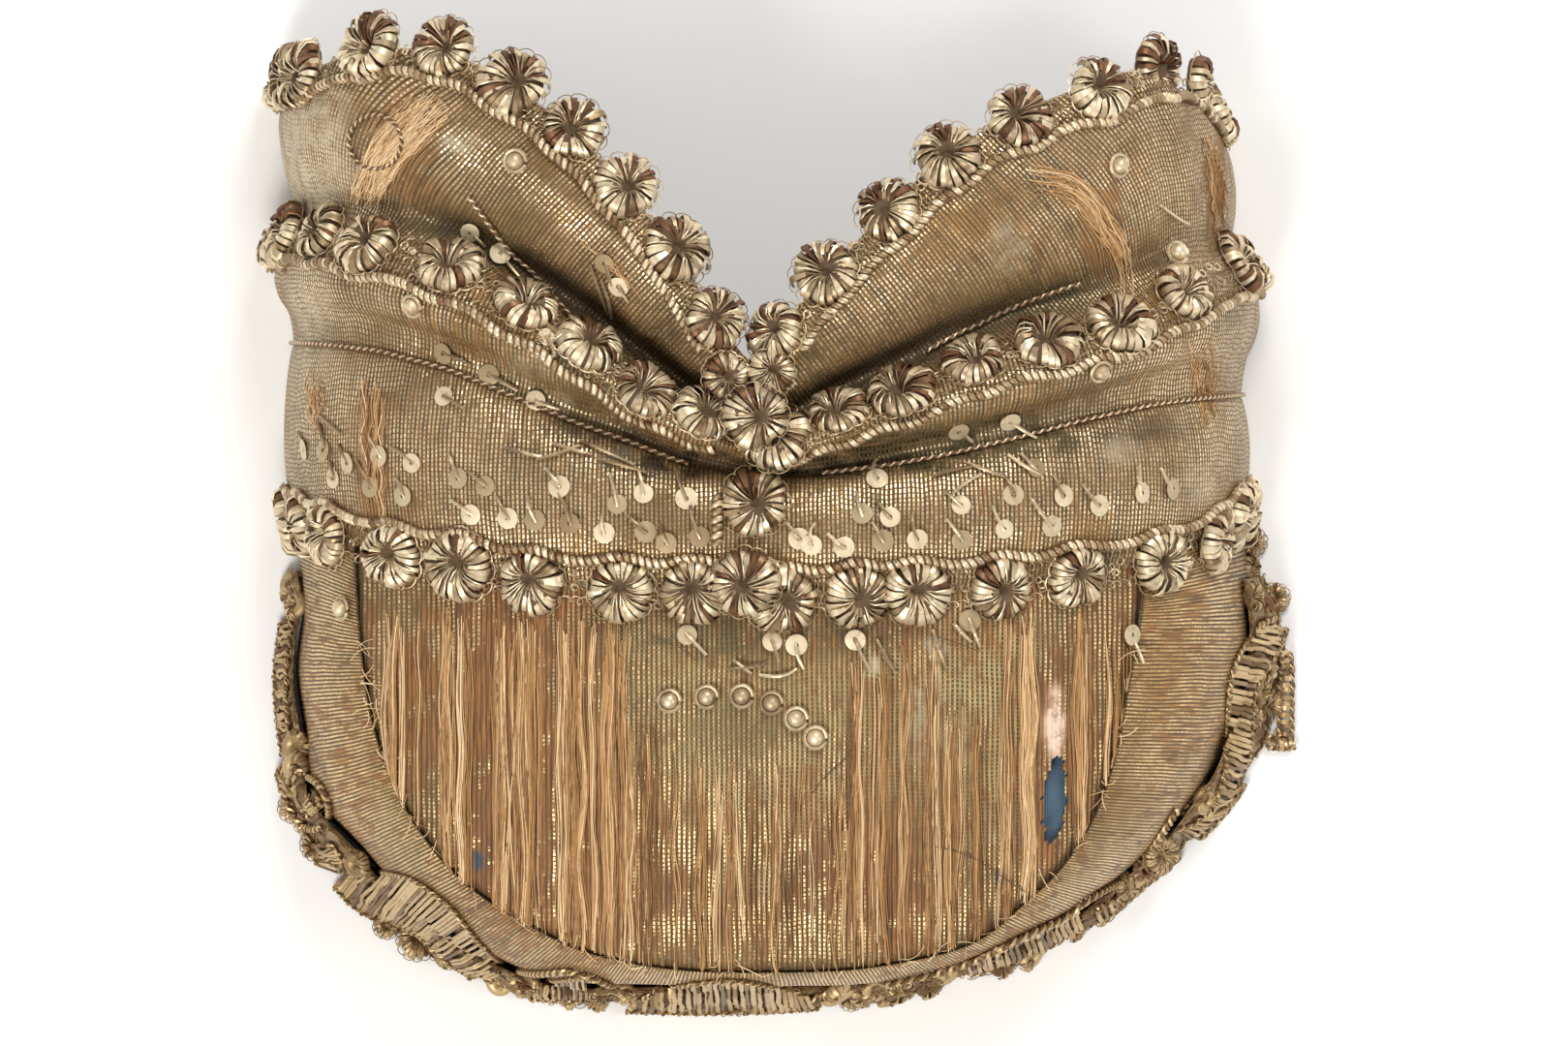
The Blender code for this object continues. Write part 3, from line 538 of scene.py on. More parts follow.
def sweep(points, facing, wide, high, section, looped=False):
    """A closed form with this section, swept along points. facing is the way its top looks."""
    points = np.asarray(points, float)
    count, sides = len(points), len(section)
    ahead = np.roll(points, -1, 0) - np.roll(points, 1, 0) if looped else np.gradient(points, axis=0)
    ahead = unit(ahead)
    side = unit(np.cross(ahead, np.broadcast_to(facing, points.shape)))
    top = np.cross(side, ahead)
    section = np.asarray(section, float)
    wide = np.broadcast_to(wide, count)[:, None, None]
    high = np.broadcast_to(high, count)[:, None, None]
    aside = side[:, None] * section[None, :, :1] * wide
    corners = points[:, None] + aside + top[:, None] * section[None, :, 1:] * high
    return corners.reshape(-1, 3), ring_faces(count, sides, looped)


def round_section(sides):
    return [(cos(tau * i / sides), sin(tau * i / sides)) for i in range(sides)]


STRIP_SECTION = ((-1.0, -0.4), (1.0, -0.4), (0.84, 1.0), (-0.84, 1.0))
ROUND_3, ROUND_4, ROUND_5, ROUND_7 = (round_section(sides) for sides in (3, 4, 5, 7))


def wall_faces(kept):
    """Faces of a wall between two grids of corners, with openings where cells aren't kept."""
    rows, columns = kept.shape
    number = np.arange((rows + 1) * (columns + 1)).reshape(rows + 1, columns + 1)
    under = number.size
    a, b, c, d = number[:-1, :-1], number[:-1, 1:], number[1:, 1:], number[1:, :-1]
    found = [np.stack([a, b, c, d], -1)[kept], np.stack([d, c, b, a], -1)[kept] + under]
    framed = np.pad(kept, 1)
    sides = (
        (framed[:-2, 1:-1], a, b),
        (framed[1:-1, 2:], b, c),
        (framed[2:, 1:-1], c, d),
        (framed[1:-1, :-2], d, a),
    )
    for neighbour, start, end in sides:
        open_side = kept & ~neighbour
        s, e = start[open_side], end[open_side]
        found.append(np.stack([e, s, s + under, e + under], -1))
    return np.concatenate(found)


def zone_shares(corners, rows):
    """How far each corner lies in one of these zones, from 0 outside to the zone's strength."""
    shares = np.zeros(len(corners))
    for row in rows:
        x, y = plan((row.x, row.y))
        half_wide, half_tall = row.wide * PIXEL / 2, row.tall * PIXEL / 2
        away = np.hypot((corners[:, 0] - x) / half_wide, (corners[:, 1] - y) / half_tall)
        shares = np.maximum(shares, row.strength * smooth((1.5 - away) / 0.9))
    return shares


CLOTHS = []


def cloth(name, columns, rows, place, threads, material, slot, hole=None, depth=None):
    """A wall of cloth. place(u, v, wall) gives its faces, threads(u, v) places across and along its stripes.

    hole(x, y) says where it is open, depth(u, v) how deep in the folds it lies, its painted shade. Its inside
    is fully deep.
    """
    u, v = np.meshgrid(np.linspace(0, 1, columns + 1), np.linspace(0, 1, rows + 1))
    top, under = place(u, v, 0.0), place(u, v, WALL)
    kept = np.ones((rows, columns), bool)
    if hole is not None:
        middles = (top[:-1, :-1] + top[1:, 1:]) / 2
        kept = ~hole(middles[..., 0], middles[..., 1])
    faces = wall_faces(kept)
    corners = np.concatenate([top.reshape(-1, 3), under.reshape(-1, 3)])
    across, along = threads(u, v)
    uvs = np.stack([across.ravel(), along.ravel()], -1)
    uvs = np.concatenate([uvs, uvs])
    low = np.zeros(u.size) if depth is None else depth(u, v).ravel()
    tones = np.concatenate([low, np.ones(u.size)])
    used, faces = np.unique(faces, return_inverse=True)
    faces = faces.reshape(-1, 4).tolist()
    corners = corners[used]
    CLOTHS.append(BVHTree.FromPolygons(corners.tolist(), faces))
    marks = {mark: zone_shares(corners, rows) for mark, rows in WEAR_SHADE_AND_LIGHT.items()}
    return new_piece(name + "_cloth", corners, faces, material, (name,), tones[used], uvs[used], marks)


def tier(name, ends, edges, lift, grid, crinkle, seed, lean):
    """A folded tier over the arch between two edges of the table."""
    start, end = way_of(turn_at(ends[0])), way_of(turn_at(ends[1]))

    def where(u, v):
        turn = turn_of(start + (end - start) * u)
        across, _ = arch_shares(turn)
        bottom, top = edge(across, edges[0]), edge(across, edges[1])
        return turn, across, bottom + (top - bottom) * v

    def place(u, v, wall):
        turn, across, y = where(u, v)
        fine = crinkle * waves(way_of(turn), y, 0.018, 0.05, seed) * np.sin(pi * v) ** 0.5
        return on_arch(turn, y, lift(across, v) + fine - wall)

    def threads(u, v):
        turn, across, y = where(u, v)
        side = np.sign(across)
        tilt = lean * side * (1 - LEAN_LOST * smooth((np.abs(across) - LEAN_FADES) / (1 - LEAN_FADES)))
        way = way_of(turn) - side * way_of(turn_at(LEAN_CENTRE))
        rise = y - edge(LEAN_CENTRE, edges[0]) / 2 - edge(LEAN_CENTRE, edges[1]) / 2
        return way * np.cos(tilt) + rise * np.sin(tilt), rise * np.cos(tilt) - way * np.sin(tilt)

    # Painted shade: the lower a place lies in the folds the darker its tone, and near the knot darker still,
    # painted shade and dirt.
    def depth(u, v):
        _, across, _ = where(u, v)
        near_knot = (1 - smooth(np.abs(across) / 0.5)) * (1 - smooth(v / 0.4)) * (edges[0] != "lower")
        return np.clip(0.5 - lift(across, v) / 0.008 + 0.5 * near_knot, 0, 1)

    cloth(name, *grid, place, threads, CLOTH_LOOK, "striped_cloth", depth=depth)


def look_down(x, y, more=()):
    """The highest point of the cloth over a place in plan, and its outward direction."""
    hits = [tree.ray_cast(Vector((x, y, 2 * ARCH_HEIGHT)), Vector((0, 0, -1))) for tree in (*CLOTHS, *more)]
    hits = [hit for hit in hits if hit[0] is not None]
    return max(((hit[0], hit[1]) for hit in hits), key=lambda hit: hit[0].z) if hits else None


def lifted(found, lift):
    """Places raised along their outward directions, and these directions, from pairs of the two."""
    spots, outs = (np.array([pair[i] for pair in found]) for i in range(2))
    return spots + outs * lift, outs


def cast(start, way, reach):
    """How far along a way the cloth lies, or None."""
    hits = [tree.ray_cast(Vector(start), Vector(way), reach) for tree in CLOTHS]
    found = [hit[3] for hit in hits if hit[0] is not None]
    return min(found) if found else None


def seat(centre, facing, radius):
    """Where a flat thing of this radius lies on the cloth: its middle and the way it faces."""
    centre, facing = Vector(centre), Vector(facing).normalized()
    side = facing.orthogonal().normalized()
    other = facing.cross(side)
    rows, heights = [], []
    for share in (0.0, 0.55, 1.0):
        for i in range(8 if share else 1):
            a, b = radius * share * cos(i * pi / 4), radius * share * sin(i * pi / 4)
            found = cast(centre + side * a + other * b + facing * SIGHT, -facing, 1.6 * SIGHT)
            if found is not None:
                rows.append((a, b, 1.0))
                heights.append(SIGHT - found)
    if len(rows) < 5:
        return centre, facing
    slope, *_ = np.linalg.lstsq(np.array(rows), np.array(heights), rcond=None)
    facing_new = (facing - side * slope[0] - other * slope[1]).normalized()
    rest = np.array(heights) - np.array(rows) @ slope
    return centre + facing * (slope[2] + 0.6 * rest.max()), facing_new


def frame_of(facing, ahead=(1.0, 0.0, 0.0)):
    """Three directions: ahead laid square to facing, the one beside it, and facing."""
    facing = unit(np.asarray(facing, float))
    first = np.asarray(ahead, float)
    first = unit(first - facing * (first @ facing))
    return np.stack([first, np.cross(facing, first), facing])


# Rosettes, gimp, wire

# Along a strip of a rosette, from the hole to the rim: shares of the way, the radius and the height
PETAL_PROFILE = (
    (0.0, 0.17, 0.06), (0.17, 0.30, 0.66), (0.33, 0.52, 1.0), (0.5, 0.77, 1.0), (0.67, 0.95, 0.82),
    (0.83, 1.02, 0.38), (1.0, 0.98, 0.02),
)
# The dark stuffing under the strips, as shares of the rosette's radius and height
CORE_PROFILE = ((0.12, 0.15), (0.3, 0.62), (0.6, 0.86), (0.84, 0.66), (0.93, 0.1), (0.9, -0.25))


def rosette_shape(seed, petals=PETALS, span=tau, steps=7):
    """A rosette lying flat at the origin: strips wound over a ring, with an uneven hole in the middle."""
    rng = np.random.default_rng(seed)
    reaches, radii, heights = zip(*PETAL_PROFILE)
    reach = np.linspace(0, 1, steps)
    radii, heights = np.interp(reach, reaches, radii), np.interp(reach, reaches, heights)
    swirl = rng.uniform(-0.30, 0.30)
    batch = Batch()
    hole = rng.uniform(-0.16, 0.16, 2) * ROSETTE_RADIUS
    heavy = rng.uniform(0, tau)
    widths = rng.uniform(0.70, 1.30, petals)
    ends = np.concatenate(([0.0], np.cumsum(widths)))
    turns = span * (ends[:-1] + ends[1:]) / 2 / ends[-1]
    for turn, width in zip(turns, widths):
        long = rng.uniform(0.90, 1.07)
        angles = turn + swirl * (1 - radii) + rng.uniform(-0.06, 0.06)
        lift = heights * rng.uniform(0.82, 1.10) * (1 + 0.15 * cos(turn - heavy))
        shrink = (1 - radii)[:, None] * hole
        spoke = np.stack([np.cos(angles), np.sin(angles)], -1)
        flat = spoke * (radii * long * ROSETTE_RADIUS)[:, None] + shrink
        points = np.column_stack([flat, lift * ROSETTE_HEIGHT])
        outward = circle(angles, radii, 0.25)
        wide = span / 2 * ROSETTE_RADIUS * (0.18 + 0.80 * radii) * width / ends[-1] * rng.uniform(0.80, 0.94)
        roll = np.column_stack([-np.sin(angles), np.cos(angles), 0 * angles]) * rng.uniform(-0.28, 0.28)
        batch.add(*sweep(points, outward + roll, wide, STRIP_THICKNESS, STRIP_SECTION), rng.beta(1.6, 1.3))
    return batch


class Trim:
    """The batches that a stretch of lace is gathered in."""

    def __init__(self):
        self.metal, self.core = Batch(), Batch()

    def pieces(self, name):
        """The gilt piece that stands for a node, and the dark piece under it."""
        self.metal.piece(name + "_metal", GILT, "gilt_lace", (name,))
        if self.core.count:
            self.core.piece(name + "_core", CORE, "gilt_lace")


def place_shape(corners, origin, axes):
    """A shape made at the origin, moved and turned."""
    return np.asarray(origin) + np.asarray(corners) @ axes


def add_rosette(trim, shapes, rng, centre, facing, scale, wires=True, ahead=None, copper=COPPER_SHARE):
    """A rosette with a frill of looped wire. Some strips are copper brown, and more on the wings' side as
    painted shade.
    """
    axes = frame_of(facing, rng.normal(size=3) if ahead is None else ahead)
    shape = shapes[rng.integers(len(shapes))]
    centre = np.asarray(centre, float)
    clear = 1.2 * ROSETTE_RADIUS * scale * max(1 - axes[2][2] ** 2, 0.0) ** 0.5
    centre = np.array((centre[0], centre[1], max(centre[2], clear)))
    placed = [place_shape(petal * scale, centre, axes) for petal in shape.corners]
    tones = []
    for petal, tone in zip(placed, shape.tones):
        # Copper brown strips, chosen oftener on the side towards the wings: real copper, with painted shade
        # on that side.
        upward = unit(petal.mean(axis=0) - centre)[1]
        worn = rng.uniform() < copper * (0.25 + 1.2 * max(upward, 0.0))
        tones.append(0 * tone + rng.uniform(0.0, 0.1) if worn else np.maximum(tone, 0.15))
    trim.metal.add(np.concatenate(placed), shape.faces, np.concatenate(tones))
    core, faces = lathe(CORE_PROFILE, ROSETTE_RADIUS * scale, ROSETTE_HEIGHT * scale, 20)
    trim.core.add(place_shape(core, centre, axes), faces, rng.uniform(0, 1))
    if wires:
        loops = int(rng.integers(12, 16))
        steps = np.linspace(0, tau, loops * 8, endpoint=False)
        beat = steps * loops
        away = ROSETTE_RADIUS * scale * (1.07 + 0.09 * np.cos(beat) + 0.03 * np.cos(3 * steps))
        angles = steps + 1.5 / loops * np.sin(beat)
        points = place_shape(circle(angles, away, FRILL_LIFT + WIRE_WAVE * np.sin(beat / 2)), centre, axes)
        trim.metal.add(*sweep(points, axes[2], WIRE, WIRE, ROUND_3, looped=True), rng.uniform(0.15, 0.45))


def add_ring(trim, rng, centre, facing, radius):
    """A small closed ring of wire."""
    axes = frame_of(facing, rng.normal(size=3))
    angles = tau * np.arange(12) / 12
    points = place_shape(circle(angles, radius, WIRE), centre, axes)
    thick = 1.4 * WIRE
    trim.metal.add(*sweep(points, axes[2], thick, thick, ROUND_4, looped=True), rng.uniform(0.3, 0.8))


def resample(points, step):
    """The same line with points this far apart. Columns after the third only go along."""
    points = np.asarray(points, float)
    run = length_along(points[:, :3])
    count = max(int(run[-1] / step), 2) + 1
    at = np.linspace(0, run[-1], count)
    return np.column_stack([np.interp(at, run, points[:, i]) for i in range(points.shape[1])]), at


def rounded(points):
    """A soft curve near these corners, which are cut three times."""
    points = np.asarray(points, float)
    for _ in range(3):
        cut = np.empty((2 * len(points) - 2, points.shape[1]))
        cut[0::2] = 0.75 * points[:-1] + 0.25 * points[1:]
        cut[1::2] = 0.25 * points[:-1] + 0.75 * points[1:]
        points = np.vstack([points[:1], cut, points[-1:]])
    return points


def line_frame(points, facings, step):
    """A line resampled: points, the way to each, and the directions it faces, ahead, aside and to its top."""
    fine, at = resample(np.hstack([points, facings]), step)
    line, facing = fine[:, :3], unit(fine[:, 3:])
    ahead = unit(np.gradient(line, axis=0))
    side = unit(np.cross(ahead, facing))
    return line, at, facing, ahead, side, np.cross(side, ahead)


def wound(line, side, top, angles, radius):
    """A line wound round another."""
    return line + (side * np.cos(angles)[:, None] + top * np.sin(angles)[:, None]) * radius


def add_gimp(trim, rng, points, facings, radius=GIMP_RADIUS):
    """Cord wound with flat strip: a row of barrel-shaped windings with dark notches between them."""
    line, at, facing, ahead, _, _ = line_frame(points, facings, GIMP_PITCH / 8)
    wind = np.abs(np.sin(pi * at / GIMP_PITCH))
    swell = radius * (0.52 + 0.48 * wind**0.4)
    sides = len(ROUND_7)
    corners, faces = sweep(line, facing, swell, swell, ROUND_7)
    angles = np.tile(tau * np.arange(sides) / sides, len(line))
    corners = corners + np.repeat(ahead, sides, axis=0) * (0.25 * GIMP_PITCH * np.cos(angles))[:, None]
    beads = rng.beta(1.1, 1.2, int(at[-1] / GIMP_PITCH) + 2)
    tones = np.where(wind < 0.36, 0.0, np.maximum(0.8 * beads[(at / GIMP_PITCH).astype(int)], 0.15))
    trim.metal.add(corners, faces, np.repeat(tones, sides))


def curls(batch, points, facings, radius, step, tone, seed):
    """Fine wire in a row of loops."""
    line, at, facing, ahead, side, _ = line_frame(points, facings, step / 8)
    beat = tau * at / step + 0.8 * waves(at, 0 * at, 0.006, 1, seed)
    size = radius * (1 + 0.35 * waves(at, 0 * at, 0.004, 1, seed + 1))
    centre = line + ahead * (1.2 * size * np.cos(beat))[:, None] + side * (size * np.sin(beat))[:, None]
    centre = centre + facing * (WIRE_WAVE * np.sin(beat / 2))[:, None]
    batch.add(*sweep(centre, facing, WIRE, WIRE, ROUND_3), tone)


def twist(batch, points, facings, radius, lay, tone):
    """Cord of two plies twisted round each other, one brighter than the other."""
    line, at, facing, _, side, top = line_frame(points, facings, lay / 6)
    for number, ply_tone in enumerate((tone + 0.25, tone - 0.30)):
        centre = wound(line, side, top, tau * (at / lay + number / 2), 0.55 * radius)
        batch.add(*sweep(centre, facing, 0.50 * radius, 0.50 * radius, ROUND_5), max(ply_tone, 0.0))


def coil(batch, points, facing, radius, wire, tone):
    """Bullion: fine wire coiled like a spring round a line."""
    pitch = 2.1 * wire
    line, at, _, ahead, side, top = line_frame(points, np.broadcast_to(facing, points.shape), pitch / 5)
    centre = wound(line, side, top, tau * at / pitch, radius - wire)
    batch.add(*sweep(centre, ahead, wire, wire, ROUND_3), tone)


# Camera, light and floor

CAMERA_HEIGHT = 5.0
SHARP_HEIGHT = 0.045
FRAME_COLUMNS = 1619
FRAME_ROWS = 1080
FLOOR_SIZE = 1.5
FLOOR_DROP = 0.0002
LIGHTS_AIM = (0.0, 0.0, 0.04)
# Lights: name, place, diameter, power and colour
LIGHTS = (
    ("light_front", (-0.35, -0.75, 0.95), 0.60, 12.0, (1.0, 0.97, 0.92)),
    ("light_back", (0.30, 0.80, 0.90), 0.60, 10.0, (1.0, 0.98, 0.95)),
    ("light_left", (-0.95, 0.10, 0.55), 0.40, 1.2, (1.0, 1.0, 1.0)),
    ("light_right", (0.95, -0.25, 0.60), 0.40, 2.6, (1.0, 1.0, 1.0)),
)


def camera():
    """The photograph's view: straight down from far away, with its scale at SHARP_HEIGHT."""
    data = bpy.data.cameras.new("camera")
    data.sensor_width = 36.0
    data.lens = data.sensor_width * (CAMERA_HEIGHT - SHARP_HEIGHT) / (FRAME_COLUMNS * PIXEL)
    data.clip_end = 4 * CAMERA_HEIGHT
    view = bpy.data.objects.new("camera", data)
    middle_x, middle_y = plan((FRAME_COLUMNS / 2, FRAME_ROWS / 2))
    view.location = (middle_x + SHIFT.x, middle_y + SHIFT.y, CAMERA_HEIGHT)
    bpy.context.scene.collection.objects.link(view)
    bpy.context.scene.camera = view


def area_light(name, at, size, power, colour):
    data = bpy.data.lights.new(name, "AREA")
    data.shape = "DISK"
    data.size = size
    data.energy = power
    data.color = colour
    light = bpy.data.objects.new(name, data)
    light.location = at
    light.rotation_euler = (Vector(LIGHTS_AIM) - Vector(at)).to_track_quat("-Z", "Y").to_euler()
    bpy.context.scene.collection.objects.link(light)


def studio():
    """A pale floor under broad soft lights and a white surround."""
    for light in LIGHTS:
        area_light(*light)
    world = bpy.data.worlds.new("surround")
    world.use_nodes = True
    background = world.node_tree.nodes["Background"]
    background.inputs["Color"].default_value = (1.0, 0.99, 0.97, 1.0)
    background.inputs["Strength"].default_value = 0.34
    bpy.context.scene.world = world
    bpy.context.scene.view_settings.view_transform = "Standard"
    mesh = bpy.data.meshes.new("floor")
    corners = [(x * FLOOR_SIZE, y * FLOOR_SIZE, 0) for x, y in ((-1, -1), (1, -1), (1, 1), (-1, 1))]
    mesh.from_pydata(corners, [], [(0, 1, 2, 3)])
    floor = bpy.data.objects.new("floor", mesh)
    floor.location.z = -FLOOR_DROP
    bpy.context.scene.collection.objects.link(floor)
    pale = Look("pale_floor")
    shade = pale.noise(pale.where("Object"), 6.0)
    pale.finish(pale.mix(shade, (0.93, 0.93, 0.93), (0.96, 0.96, 0.96)), 0.9, 0.0)
    floor.data.materials.append(pale.material)


# Finishes

class Look:
    """A node material, built up step by step."""

    def __init__(self, name):
        self.material = bpy.data.materials.new(name)
        self.material.use_nodes = True
        self.tree = self.material.node_tree
        self.shader = self.tree.nodes["Principled BSDF"]

    def link(self, socket, value):
        if isinstance(value, bpy.types.NodeSocket):
            self.tree.links.new(value, socket)
        elif isinstance(value, tuple) and len(value) == 3 and socket.type == "RGBA":
            socket.default_value = (*value, 1.0)
        else:
            socket.default_value = value

    def node(self, kind, inputs, **settings):
        node = self.tree.nodes.new(kind)
        for key, value in settings.items():
            setattr(node, key, value)
        for key, value in inputs.items():
            self.link(node.inputs[key], value)
        return node

    def where(self, output):
        return self.node("ShaderNodeTexCoord", {}).outputs[output]

    def threads(self):
        """Places across and along the stripes, in metres."""
        uv = self.node("ShaderNodeUVMap", {}, uv_map="threads").outputs[0]
        split = self.node("ShaderNodeSeparateXYZ", {0: uv})
        return split.outputs[0], split.outputs[1]

    def tone(self, name="tone"):
        return self.node("ShaderNodeAttribute", {}, attribute_name=name).outputs["Fac"]

    def math(self, operation, *values):
        inputs = dict(enumerate(values))
        return self.node("ShaderNodeMath", inputs, operation=operation).outputs[0]

    def plus(self, first, second):
        return self.math("ADD", first, second)

    def less(self, first, second):
        return self.math("SUBTRACT", first, second)

    def times(self, first, second):
        return self.math("MULTIPLY", first, second)

    def over(self, first, second):
        return self.math("DIVIDE", first, second)

    def most(self, first, second):
        return self.math("MAXIMUM", first, second)

    def from_middle(self, value):
        """How far a value stands from the middle between two whole values, from -0.5 to 0.5."""
        return self.less(self.math("FRACT", value), 0.5)

    def noise(self, where, scale, detail=2.0, roughness=0.5):
        inputs = {"Vector": where, "Scale": scale, "Detail": detail, "Roughness": roughness}
        return self.node("ShaderNodeTexNoise", inputs).outputs["Fac"]

    def streaks(self, across, along, wide, long, layer=0.0, detail=3.0):
        """Noise stretched along the threads. wide and long are its scales, layer tells it from the others."""
        inputs = {0: self.times(across, wide), 1: self.times(along, long), 2: layer}
        return self.noise(self.node("ShaderNodeCombineXYZ", inputs).outputs[0], 1.0, detail)

    def chance(self, value):
        """A random number for each whole value."""
        return self.node("ShaderNodeTexWhiteNoise", {"W": value}, noise_dimensions="1D").outputs["Value"]

    def ramp(self, value, low, high, start=0.0, end=1.0):
        """start below low, end above high, smooth between them."""
        inputs = {"Value": value, "From Min": low, "From Max": high, "To Min": start, "To Max": end}
        return self.node("ShaderNodeMapRange", inputs, interpolation_type="SMOOTHSTEP").outputs[0]

    def mix(self, share, first, second):
        inputs = {0: share, 6: first, 7: second}
        return self.node("ShaderNodeMix", inputs, data_type="RGBA").outputs[2]

    def bump(self, height, distance, strength=1.0):
        inputs = {"Height": height, "Distance": distance, "Strength": strength}
        return self.node("ShaderNodeBump", inputs).outputs[0]

    def finish(self, colour, roughness, metallic, normal=None, sheen=0.0):
        self.link(self.shader.inputs["Base Color"], colour)
        self.link(self.shader.inputs["Roughness"], roughness)
        self.link(self.shader.inputs["Metallic"], metallic)
        if normal is not None:
            self.link(self.shader.inputs["Normal"], normal)
        if sheen:
            self.shader.inputs["Sheen Weight"].default_value = sheen
        return self.material


PALE_GOLD = (0.98, 0.86, 0.58)
WARM_GOLD = (0.97, 0.76, 0.40)
OLD_GOLD = (0.36, 0.245, 0.095)
BROWN = (0.06, 0.032, 0.012)
COPPER = (0.19, 0.088, 0.046)
SILK = (0.42, 0.205, 0.062)
BAND_SILK = (0.46, 0.225, 0.066)
PANEL_SILK = (0.37, 0.150, 0.034)
BLOOM_AND_LIGHT = (0.60, 0.50, 0.35)
GREEN_BLOOM = (0.17, 0.14, 0.045)
DIRT = (0.11, 0.072, 0.028)
DEEP_BLUE = (0.015, 0.045, 0.075)
NET_HOLE = (0.07, 0.043, 0.016)
NET_THREADS = (0.26, 0.165, 0.055), (0.66, 0.50, 0.24)
SHADE_AND_STAIN = (0.045, 0.028, 0.010)
SHADE = (0.050, 0.030, 0.011)
PALE_SILK = (0.86, 0.66, 0.40)
PINK = (0.78, 0.56, 0.42)
BLUE_WEAVE = 0.0009
STRIPE_SWAY = 0.0006
STRIPE_RELIEF = 0.00012


def striped_look(name, pitch, dash, worn, orange, dark=0.8, pale=PALE_GOLD, bloom=0.5):
    """Cloth of metal strips between silk threads.

    pitch is from strip to strip, dash the length of strip that shows at once, worn how much of it is gone,
    dark how deep the shade in the folds is, and bloom how pale the spots are.
    """
    look = Look(name)
    across, along = look.threads()
    where = look.where("Object")
    patches = look.noise(where, 28.0, 3.0, 0.6)
    ragged = look.ramp(look.noise(where, 260.0, 4.0, 0.65), 0.36, 0.62, 0.25, 1.3)

    def wear_shade_and_light(kind):
        """The zones of this kind, with ragged edges. Most are wear and stain; some are painted shade and
        painted light.
        """
        return look.times(look.tone(kind), ragged)

    drift = look.noise(where, 90.0, 1.0)
    strip = look.over(look.plus(across, look.times(drift, STRIPE_SWAY)), pitch)
    column = look.math("FLOOR", strip)
    side = look.from_middle(strip)
    offset = look.math("ABSOLUTE", side)
    chance = look.chance(column)
    beat = look.plus(look.over(along, dash), look.times(chance, 0.25))
    beat = look.plus(beat, look.times(look.noise(where, 120.0, 2.0), 2.5))
    row = look.math("FLOOR", beat)
    step = look.math("ABSOLUTE", look.from_middle(beat))
    ridge = look.ramp(offset, 0.18, 0.27, 1.0, 0.0)
    cut = look.ramp(step, 0.32, 0.42, 1.0, 0.0)
    glint = look.chance(look.plus(look.times(column, 17.3), look.times(row, 3.7)))
    streaks = look.streaks(column, along, 0.37, 130.0)
    gone = look.plus(look.times(streaks, 0.6), look.times(patches, 0.4))
    gone = look.less(gone, look.times(wear_shade_and_light("worn"), 0.22))
    there = look.ramp(gone, worn - 0.05, worn + 0.05, 0.0, 1.0)
    metal = look.times(look.times(ridge, cut), there)
    threads = look.streaks(across, along, 3600.0, 130.0)
    silk = look.mix(look.ramp(threads, 0.35, 0.65), tuple(0.30 * c for c in orange), orange)
    silk = look.mix(look.ramp(patches, 0.45, 0.7), silk, tuple(0.50 * c for c in orange))
    bundles = look.streaks(across, along, 420.0, 25.0, 2.0, 2.0)
    silk = look.mix(look.times(look.ramp(bundles, 0.56, 0.68), 0.6), silk, BROWN)
    gap = look.ramp(offset, 0.30, 0.44)
    silk = look.mix(look.times(gap, 0.78), silk, BROWN)
    tarnish = look.noise(where, 45.0, 4.0, 0.65)
    gold = look.mix(look.ramp(tarnish, 0.46, 0.70), pale, OLD_GOLD)
    gold = look.mix(look.times(glint, 0.6), gold, OLD_GOLD)
    colour = look.mix(metal, silk, gold)
    bars = look.most(ridge, look.ramp(step, 0.33, 0.40))
    net = wear_shade_and_light("nets")
    netting = look.mix(bars, NET_HOLE, look.mix(threads, *NET_THREADS))
    colour = look.mix(net, colour, netting)
    metal = look.times(metal, look.less(1.0, net))
    dirt = look.noise(where, 60.0, 5.0, 0.7)
    colour = look.mix(look.times(look.ramp(dirt, 0.48, 0.72), 0.5), colour, DIRT)
    # Painted shade in the recesses under the rolls and under the lower lace, with stain there too.
    colour = look.mix(wear_shade_and_light("darks"), colour, SHADE_AND_STAIN)
    # Painted shade: corners low in the folds, and the inside of the cloth, are darkened towards SHADE by
    # their tone.
    low = look.ramp(look.tone(), 0.35, 1.0, 0.0, dark)
    colour = look.mix(low, colour, SHADE)
    white = look.times(look.ramp(look.noise(where, 70.0, 4.0, 0.7), 0.66, 0.80), bloom)
    # Pale blooms, and over the left wing's flank painted light.
    colour = look.mix(look.most(white, wear_shade_and_light("blooms")), colour, BLOOM_AND_LIGHT)
    green = look.streaks(across, along, 22.0, 22.0, 4.0)
    green = look.most(look.times(look.ramp(green, 0.55, 0.72), 0.30), wear_shade_and_light("greens"))
    colour = look.mix(green, colour, look.mix(0.45, colour, GREEN_BLOOM))
    colour = look.mix(wear_shade_and_light("blues"), colour, DEEP_BLUE)
    colour = look.mix(wear_shade_and_light("pinks"), colour, PINK)
    tilt = look.times(side, look.less(glint, 0.5))
    height = look.plus(metal, look.times(tilt, 2.4))
    height = look.plus(height, look.times(look.ramp(threads, 0.2, 0.8), 0.6))
    height = look.less(height, look.times(gap, 0.8))
    roughness = look.ramp(metal, 0.0, 1.0, 0.62, 0.30)
    metallic = look.times(metal, 0.9)
    return look.finish(colour, roughness, metallic, look.bump(height, STRIPE_RELIEF))


def strand_look(name, dark, light):
    """Loose threads, each its own tone, the highest tones pale."""
    look = Look(name)
    fine = look.noise(look.where("Object"), 900.0, 2.0)
    share = look.plus(look.times(look.tone(), 0.75), look.times(fine, 0.25))
    colour = look.mix(share, dark, light)
    colour = look.mix(look.ramp(look.tone(), 0.72, 1.0, 0.0, 0.9), colour, PALE_SILK)
    return look.finish(colour, 0.55, 0.0, look.bump(fine, 0.00005, 0.4), sheen=0.08)


